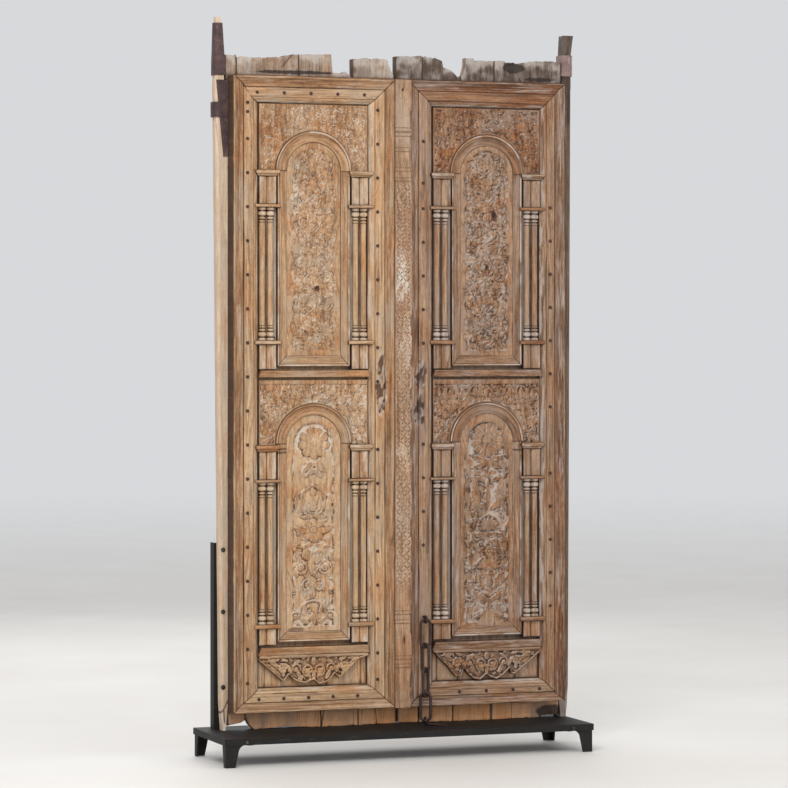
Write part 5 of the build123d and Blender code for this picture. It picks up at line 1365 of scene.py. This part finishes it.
def planks(hand, finish, seed, stainsAndShadowBands, cracks):
    head, *rows = plankRows[hand]
    topStart, footStart = head["meeting"]
    side, footEnd = head["side"], head["edge"]
    topEnd = footEnd + side * (plankShape["neckStep"] - 4.6)
    shoulder = door["top"] - plankShape["neckStep"]
    work = Work()
    for k, row in enumerate(rows):
        seed += 3
        topShares, rises = [np.array(v) for v in zip(*row["top"])]
        footShares, lifts = [np.array(v) for v in zip(*row["foot"])]
        last = k == len(rows) - 1
        wide = (topShares[-1] - topShares[0]) * abs(topEnd - topStart)
        # places across: the corners of both broken ends and even steps between
        share = np.linspace(0, 1, max(8, int(wide / 4.5)))
        corners = np.concatenate([(topShares - topShares[0]) / (topShares[-1] - topShares[0]),
                                  (footShares - footShares[0]) / (footShares[-1] - footShares[0])])
        share = np.unique(np.round(np.concatenate([share, corners]), 4))
        topAt = topShares[0] + share * (topShares[-1] - topShares[0])
        footAt = footShares[0] + share * (footShares[-1] - footShares[0])
        topU = topStart + topAt * (topEnd - topStart)
        footU = footStart + footAt * (footEnd - footStart)
        chew = clouds(topU, topU * 0, 9, 1, seed, 3)
        topZ = door["top"] + np.interp(topAt, topShares, rises) - 5.0 * ease(chew, 0.45, 0.85)
        footZ = door["standTop"] + np.interp(footAt, footShares, lifts) \
            + 3.0 * ease(clouds(footU, footU * 0, 11, 1, seed + 1, 3), 0.5, 0.9)
        ends = np.concatenate([np.linspace(0, 0.035, 16), np.linspace(0.045, 0.955, 26),
                               np.linspace(0.962, 1, 22)])
        t = ends[None, :]
        z = footZ[:, None] * (1 - t) + topZ[:, None] * t
        # seams run straight from foot to top whatever the broken ends do
        run = (z - door["standTop"]) / (door["top"] + 72 - door["standTop"])
        u = footU[:, None] * (1 - run) + topU[:, None] * run
        if last:
            reach = np.where(z < shoulder, footEnd, topEnd)
            u = np.where(side * u > side * reach, reach, u)
            u[-1] = reach[-1]
        u[0] += side * plankShape["seam"] / 2
        if not last:
            u[-1] -= side * plankShape["seam"] / 2
        x = np.abs(u - u[0])
        rimX = np.minimum(x, np.abs(u - u[-1]))
        rimTop, rimFoot = topZ[:, None] - z, z - footZ[:, None]
        rim = np.minimum(rimX, np.minimum(rimTop, rimFoot))
        rough = clouds(u, z, 10, 30, seed + 2, 3)
        soft = 2.6 * (1 - ease(rim, 0, 4.0)) * (0.4 + rough)
        level = -soft - 1.4 * rough * ease(np.minimum(rimTop, rimFoot), 130, 60)
        hollows = np.zeros_like(u)
        stain = np.zeros_like(u)
        # each spot darkens and sinks the wood; the long flat bands along the frame's top are painted
        # shadow, the rest stains and knots
        for atU, atZ, wideSpot, highSpot, depth, dark in stainsAndShadowBands:
            d = np.hypot((u - atU) / wideSpot, (z - atZ) / highSpot) + 0.5 * (rough - 0.5)
            hollows = np.maximum(hollows, depth * ease(d, 1.0, 0.5))
            stain = np.maximum(stain, dark * ease(d, 1.15, 0.7))
        split = splits(u, z, cracks)
        level = level - hollows - 2.5 * split
        grain = triple(u + 80.0 * seed, z, 1.9 * seed)
        # painted shade on the planks just above the frame's top and just under its foot; dirt with
        # painted shade along the seams
        under = ease(z, door["top"] + 16, door["top"] + 2) * (z > door["top"] - 30) \
            + 0.4 * ease(z, door["low"] - 12, door["low"] - 2) * (z < door["low"] + 10)
        ageing = clouds(u, z, 40, 30, seed + 7, 3)
        # the broken feet show orange wood, with painted light as well to lift them out of the shade of
        # the leaf above; the tops weathered wood
        upper = ease(z, 1200, 1300)
        dirtAndShade = 0.6 * bell(rimX, 0, 1.8) + 0.6 * under + 0.45 * ease(rim, 5, 0) * rough + 0.9 * split
        wear = triple((0.20 + 0.35 * upper) * ageing + 0.30 * ease(rimTop, 40, 8) * ageing,
                      np.clip(dirtAndShade, 0, 1), 0)
        own = cellNoise(np.array(seed * 1.0), np.array(0.5), 3) - 0.5
        tone = triple(0.02 + 0.10 * (ageing - 0.5) + 0.72 * (1 - upper)
                      - 0.42 * upper * (side > 0) + 0.06 * own,
                      0.80 * (1 - upper), np.clip(stain, 0, 1))
        work.sheet(u, z, level, grain, wear, tone, base=-plankShape["thick"] / 2)
        # the back is plain and weathered alike from foot to top
        # dirt with painted shade along the back's seams
        backWear = triple(0.28 * ageing, 0.8 * bell(rimX, 0, 2.5), 0)
        backTone = triple(-0.02 + 0.16 * (ageing - 0.5) + 0.12 * own, 0.12, 0)
        back = -plankShape["thick"] + 0.4 * rough + 1.2 * (1 - ease(rim, 0, 3))
        work.sheet(u[::-1], z[::-1], back[::-1], grain[::-1], backWear[::-1], backTone[::-1],
                   base=-plankShape["thick"] / 2)
    work.build(hand + "_planks", finish, sharp=45)


# spots as (u, z, wide, high, depth, dark), the long flat bands at z 2248 and 2250 being painted shadow
# along the frame's top; cracks as pairs of end points
planks("left", plankWood, 1000,
       [(-150, 2262, 18, 14, 3.5, 0.5), (-360, 2250, 150, 7, 0.5, 0.9)],
       [((-359, 2310), (-394, 2268)), ((-66, 92), (-72, 160)), ((-259, 92), (-250, 150))])
planks("right", plankWood, 1100,
       [(424, 2285, 38, 20, 5.0, 1.0), (520, 2248, 60, 8, 0.5, 0.8), (560, 112, 60, 26, 1.0, 0.85)],
       [((82, 92), (84, 150)), ((341, 92), (341, 150)), ((450, 2240), (440, 2262))])
print("planks made")


# pivot posts

postShape = dict(depth=44.0, bend=12.0, lean=1.8, boltIn=27.5)
postHeads = dict(
    left=dict(side=leftLeaf["side"], edge=leftLeaf["edge"], width=43.6, footIn=20.0, rise=191.5,
              neckRise=38.0, neckOut=-1.3, tipOut=-0.5, tipW=18.0, tipDepth=26.0),
    right=dict(side=rightLeaf["side"], edge=rightLeaf["edge"], width=47.0, footIn=9.0, rise=167.5,
               neckRise=100.5, neckOut=1.2, tipOut=9.9, tipW=38.7, tipDepth=44.0))


def postRing(outer, inner, side, deep):
    # D-shaped section: round outer side, flat front, inner side and back
    width = abs(outer - inner)
    bend = min(postShape["bend"], 0.9 * width, 0.45 * deep)
    pts = [(width - bend + bend * sin(a), -bend + bend * cos(a))
           for a in np.radians(np.linspace(0, 90, 8))]
    pts += [(width, y) for y in np.linspace(-bend, -deep + bend, 6)[1:-1]]
    pts += [(width - bend + bend * sin(a), -deep + bend + bend * cos(a))
            for a in np.radians(np.linspace(90, 180, 8))]
    pts += [(x, -deep) for x in np.linspace(width - bend, 0, 7)[1:]]
    pts += [(0, y) for y in np.linspace(-deep, 0, 7)[1:]]
    pts += [(x, 0) for x in np.linspace(0, width - bend, 8)[1:-1]]
    return [(inner + side * x, level) for x, level in pts]


def post(hand, finish, seed, bolts):
    head = postHeads[hand]
    side, width, depth = head["side"], head["width"], postShape["depth"]
    inner = head["edge"] + side * door["gap"]
    reach = abs(inner) + width
    foot = reach - head["footIn"]
    neck = head["edge"] + side * plankShape["neckStep"]
    low, top = door["standTop"], door["top"]
    shoulder = top - plankShape["neckStep"]
    tip = reach + head["tipOut"]
    stations = [(low + 0.05, side * (foot - 0.16 * width), inner + side * 0.13 * width, depth),
                (low + width, side * (foot - 0.07 * width), inner, depth),
                (low + 2.2 * width, side * foot, inner, depth),
                (shoulder - 0.5, side * reach, inner, depth),
                (shoulder + 0.5, side * (reach + 0.6 * head["neckOut"]), neck, depth),
                (top + head["neckRise"], side * (reach + head["neckOut"]),
                 neck + side * postShape["lean"], depth),
                (top + head["rise"], side * tip, side * (tip - head["tipW"]), head["tipDepth"])]
    zs, outers, inners, deeps = [np.array(v) for v in zip(*stations)]
    rows = np.unique(np.concatenate([np.linspace(low + 0.05, low + 150, 46),
                                     np.linspace(low + 150, shoulder, 150), zs,
                                     np.linspace(shoulder, zs[-1], 40)]))
    rings = np.array([postRing(np.interp(z, zs, outers), np.interp(z, zs, inners), side,
                               np.interp(z, zs, deeps)) for z in rows])
    u, level = rings[..., 0], rings[..., 1]
    z = np.repeat(rows[:, None], u.shape[1], axis=1)
    around = np.repeat(np.linspace(0, 150, u.shape[1])[None, :], len(rows), axis=0)
    rough = clouds(around, z, 14, 60, seed, 3)
    crumb = ease(z, low + 130, low + 20)
    middleU = (outers.mean() + inners.mean()) / 2
    pull = (0.035 + 0.16 * crumb) * rough * (1 if hand == "left" else 0.7)
    pull = np.where(z > shoulder - 1, 0.02 * rough, pull)
    u = u + (middleU - u) * pull
    level = level + (-depth / 2 - level) * pull * (z < shoulder)
    crack = np.zeros_like(u)
    if hand == "left":
        crack = splits(u, z, [((-583, 186), (-595, 162)), ((-595, 162), (-605, 150)),
                              ((-595, 162), (-592, 118))])
        level = level - 2.5 * crack * (level > -8)
    boltU = side * (reach - postShape["boltIn"])
    rust = np.maximum.reduce([np.exp(-(((u - boltU) / 12) ** 2 + ((z - boltZ) / 16) ** 2))
                              for boltZ in bolts])
    # the right post is darker beside its iron
    iron = ease(z, top - 150, top - 110) * (0.6 + 0.6 * rough) * (hand == "right")
    grain = triple(around + 40 * seed, z, seed)
    wear = triple(0.15 + 0.9 * crumb * rough,
                  np.clip(0.25 * crumb * rough + crack + 0.35 * rust, 0, 1), 0)
    tone = triple(0.06 + 0.08 * (rough - 0.5) - 0.26 * iron, 0.15 * crumb + 0.1,
                  np.clip(0.35 * crumb * rough + 0.25 * iron, 0, 1))
    places = np.stack([door["centreX"] + u, door["boardY"] - level, z], axis=-1)
    work = Work()
    work.patch(places, grain, wear, tone, flip=side > 0, closed=True)
    for end, turned in ((-1, side < 0), (0, side > 0)):
        ring = places[end]
        middle = ring.mean(axis=0)
        lid = np.stack([ring * (1 - s) + middle * s for s in (0, 0.35, 0.7, 0.999)])
        lidNotes = [np.broadcast_to(part[end], lid.shape) for part in (grain, wear, tone)]
        work.patch(lid, *lidNotes, flip=not turned, closed=True)
    work.build(hand + "_post", finish, sharp=50)


darkPost = oldWood("rightPostWood", dict(
    ramp=[(0.34, 58, 46, 38), (0.44, 88, 70, 56), (0.54, 118, 96, 78),
          (0.68, 156, 134, 114)],
    warm=(236, 186, 150), grey=(120, 108, 98), greying=0.6, lime=(190, 180, 170),
    limeFrom=0.80, limeTo=1.15, limeMost=0.6, dirtAndShade=(56, 42, 34), sootAndShade=(30, 22, 18),
    stain=(40, 28, 22), pores=0.5, streaks=0.6, depth=0.0012))
post("left", postWood, 1201, (683.7, 481.5, 235.0))
post("right", darkPost, 1202, (683.7, 481.5, 235.0))
print("posts made")


# iron, steel and the plain ledges keep their CAD shapes and get finishes in the object's own space

def oldIron(name, look):
    iron = Finish(name)
    place = iron.node("ShaderNodeTexCoord", output="Object")
    patches = iron.noise(place, detail=5.0, rough=0.62, scale=look["patch"])
    fine = iron.noise(place, detail=4.0, rough=0.6, scale=look["patch"] * 9)
    pits = iron.noise(place, detail=3.0, scale=look["patch"] * 22)
    scratch = iron.noise(iron.stretch(place, (1, 1, 0.16)), detail=5.0, rough=0.7,
                         scale=look["patch"] * 5)
    colour = iron.ramp(patches * 0.6 + fine * 0.4, look["ramp"])
    colour = iron.mix(colour, look["rust"], fine.fit(0.5, 0.75) * look["rusty"])
    pale = scratch.fit(look["paleFrom"], look["paleFrom"] + 0.12)
    colour = iron.mix(colour, look["pale"], pale * look["paleMost"])
    rough = look["rough"] + fine * 0.25 - pale * 0.08
    height = fine * 0.6 + pits * 0.5 + patches * 0.8
    return iron.close(colour, rough, height, look["depth"], metallic=look["metal"])


sheathIron = oldIron("sheathIron", dict(
    patch=22, ramp=[(0.30, 38, 28, 30), (0.48, 70, 52, 52), (0.62, 98, 74, 70),
                    (0.78, 132, 108, 102)],
    rust=(98, 62, 46), rusty=0.55, pale=(170, 150, 144), paleFrom=0.60, paleMost=0.6,
    rough=0.5, depth=0.0016, metal=0.25))
rightSheathIron = oldIron("rightSheathIron", dict(
    patch=24, ramp=[(0.28, 84, 66, 62), (0.46, 124, 100, 96), (0.62, 150, 126, 120),
                    (0.8, 184, 164, 156)],
    rust=(104, 74, 62), rusty=0.5, pale=(196, 182, 174), paleFrom=0.56, paleMost=0.6,
    rough=0.6, depth=0.0018, metal=0.15))
chainIron = oldIron("chainIron", dict(
    patch=46, ramp=[(0.28, 26, 18, 17), (0.46, 50, 35, 31), (0.62, 74, 53, 46),
                    (0.8, 112, 88, 78)],
    rust=(84, 50, 36), rusty=0.6, pale=(160, 140, 128), paleFrom=0.62, paleMost=0.4,
    rough=0.45, depth=0.0010, metal=0.3))
nailIron = oldIron("nailIron", dict(
    patch=60, ramp=[(0.28, 34, 22, 18), (0.46, 58, 38, 30), (0.62, 84, 56, 42),
                    (0.8, 112, 80, 62)],
    rust=(96, 56, 38), rusty=0.6, pale=(150, 128, 112), paleFrom=0.66, paleMost=0.4,
    rough=0.55, depth=0.0008, metal=0.2))


def blackSteel(name, look):
    steel = Finish(name)
    place = steel.node("ShaderNodeTexCoord", output="Object")
    cloudy = steel.noise(place, detail=5.0, rough=0.6, scale=7.0)
    fine = steel.noise(place, detail=4.0, rough=0.6, scale=60.0)
    rubs = steel.noise(steel.stretch(place, (1, 4, 4)), detail=5.0, rough=0.7, scale=14.0)
    colour = steel.ramp(cloudy * 0.7 + fine * 0.3, look["ramp"])
    worn = rubs.fit(0.58, 0.72)
    colour = steel.mix(colour, look["rubbed"], worn * look["worn"])
    rough = look["rough"] + cloudy * 0.2 - worn * 0.08
    return steel.close(colour, rough, fine * 0.5 + cloudy, 0.0005, metallic=look["metal"],
                       **{"Specular IOR Level": look["shine"]})


standSteel = blackSteel("standSteel", dict(
    ramp=[(0.3, 14, 14, 14), (0.5, 22, 21, 20), (0.7, 34, 31, 29)],
    rubbed=(78, 66, 54), worn=0.35, rough=0.5, metal=0.0, shine=0.28))
boltSteel = blackSteel("boltSteel", dict(
    ramp=[(0.3, 30, 28, 28), (0.5, 52, 48, 46), (0.7, 84, 76, 72)],
    rubbed=(150, 140, 130), worn=0.5, rough=0.35, metal=0.5, shine=0.5))


def plainWood(name, look):
    wood = Finish(name)
    place = wood.node("ShaderNodeTexCoord", output="Object")
    fine = wood.noise(wood.stretch(place, (0.05, 1, 1)), detail=4.0, rough=0.6, scale=420.0)
    broad = wood.noise(wood.stretch(place, (0.04, 1, 1)), detail=3.0, scale=70.0)
    patches = wood.noise(place, detail=3.0, scale=6.0)
    colour = wood.ramp(fine * 0.45 + broad * 0.4 + patches * 0.15, look["ramp"])
    return wood.close(colour, 0.62 + fine * 0.2, fine + broad * 0.5, 0.0008,
                      **{"Specular IOR Level": 0.3})


ledgeWood = plainWood("ledgeWood", dict(
    ramp=[(0.3, 74, 54, 40), (0.48, 116, 88, 66), (0.62, 144, 114, 88),
          (0.78, 168, 138, 110)]))

finishOf = dict(stand_bolts=boltSteel, left_post_sheath=sheathIron, left_post_strap=sheathIron,
                right_post_sheath=rightSheathIron, left_nails=nailIron, right_nails=nailIron,
                left_battens=ledgeWood, right_battens=ledgeWood)
for name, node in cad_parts.items():
    if name in finishOf:
        finish = finishOf[name]
    elif name.startswith("chain_"):
        finish = chainIron
    elif name.startswith("stand_"):
        finish = standSteel
    elif name.startswith("left_"):
        finish = leftWood
    else:
        finish = rightWood
    node.data.materials.clear()
    node.data.materials.append(finish)
print("iron and steel dressed")


# floor, light and camera

studio = dict(floor=(226, 222, 216), wall=(0.72, 0.73, 0.75), wallPower=0.95, middleY=8.0,
              floorZ=-0.0006, size=60,
              fadeFrom=3.0, fadeTo=20.0)


def floorFinish():
    ground = Finish("studioFloor")
    place = ground.node("ShaderNodeTexCoord", output="Object")
    cloudy = ground.noise(place, detail=3.0, scale=1.5)
    colour = ground.ramp(cloudy, [(0.3, *studio["floor"]), (0.7, 232, 229, 224)])
    across, back, _ = ground.split(place)
    away = (across * across + (back + studio["middleY"]) * (back + studio["middleY"])) ** 0.5
    fade = 1.0 - away.fit(studio["fadeFrom"], studio["fadeTo"])
    return ground.close(colour, 0.65, cloudy, 0.0004, Alpha=fade)


bpy.ops.mesh.primitive_plane_add(size=studio["size"], location=(0, studio["middleY"], studio["floorZ"]))
floor = bpy.context.object
floor.name = "studio_floor"
floor.data.materials.append(floorFinish())

scene = bpy.context.scene
world = bpy.data.worlds.new("studioLight")
scene.world = world
world.use_nodes = True
world.node_tree.nodes["Background"].inputs["Color"].default_value = (*studio["wall"], 1)
world.node_tree.nodes["Background"].inputs["Strength"].default_value = studio["wallPower"]


def softBox(name, place, aim, size, power, tint=(1, 1, 1)):
    light = bpy.data.lights.new(name, "AREA")
    light.shape = "RECTANGLE"
    light.size, light.size_y = size
    light.energy = power
    light.color = tint
    lamp = bpy.data.objects.new(name, light)
    scene.collection.objects.link(lamp)
    lamp.location = place
    away = [p - a for p, a in zip(place, aim)]
    flat = hypot(away[0], away[1])
    lamp.rotation_euler = (atan2(flat, away[2]), 0, atan2(away[1], away[0]) + pi / 2)


softBox("keyLight", (-2.6, -4.2, 4.4), (0, 0, 1.2), (2.4, 2.0), 190)
softBox("fillLight", (3.8, -4.4, 2.2), (0, 0, 1.1), (3.0, 3.0), 60)
softBox("backLight", (0.5, 4.5, 3.6), (0, 0, 1.2), (3.0, 2.0), 70)

view = dict(focal=3359.968, pixels=788, turn=20.0605, place=(-3.82957, -10.44562, 1.38726),
            horizonRow=334.478, film=36.0)
lens = bpy.data.cameras.new("camera")
lens.sensor_width = view["film"]
lens.lens = view["focal"] / view["pixels"] * view["film"]
lens.shift_y = -(view["pixels"] / 2 - view["horizonRow"]) / view["pixels"]
lens.clip_end = 200
camera = bpy.data.objects.new("camera", lens)
scene.collection.objects.link(camera)
camera.location = view["place"]
camera.rotation_euler = (radians(90), 0, -radians(view["turn"]))
scene.camera = camera
scene.view_settings.view_transform = "Standard"
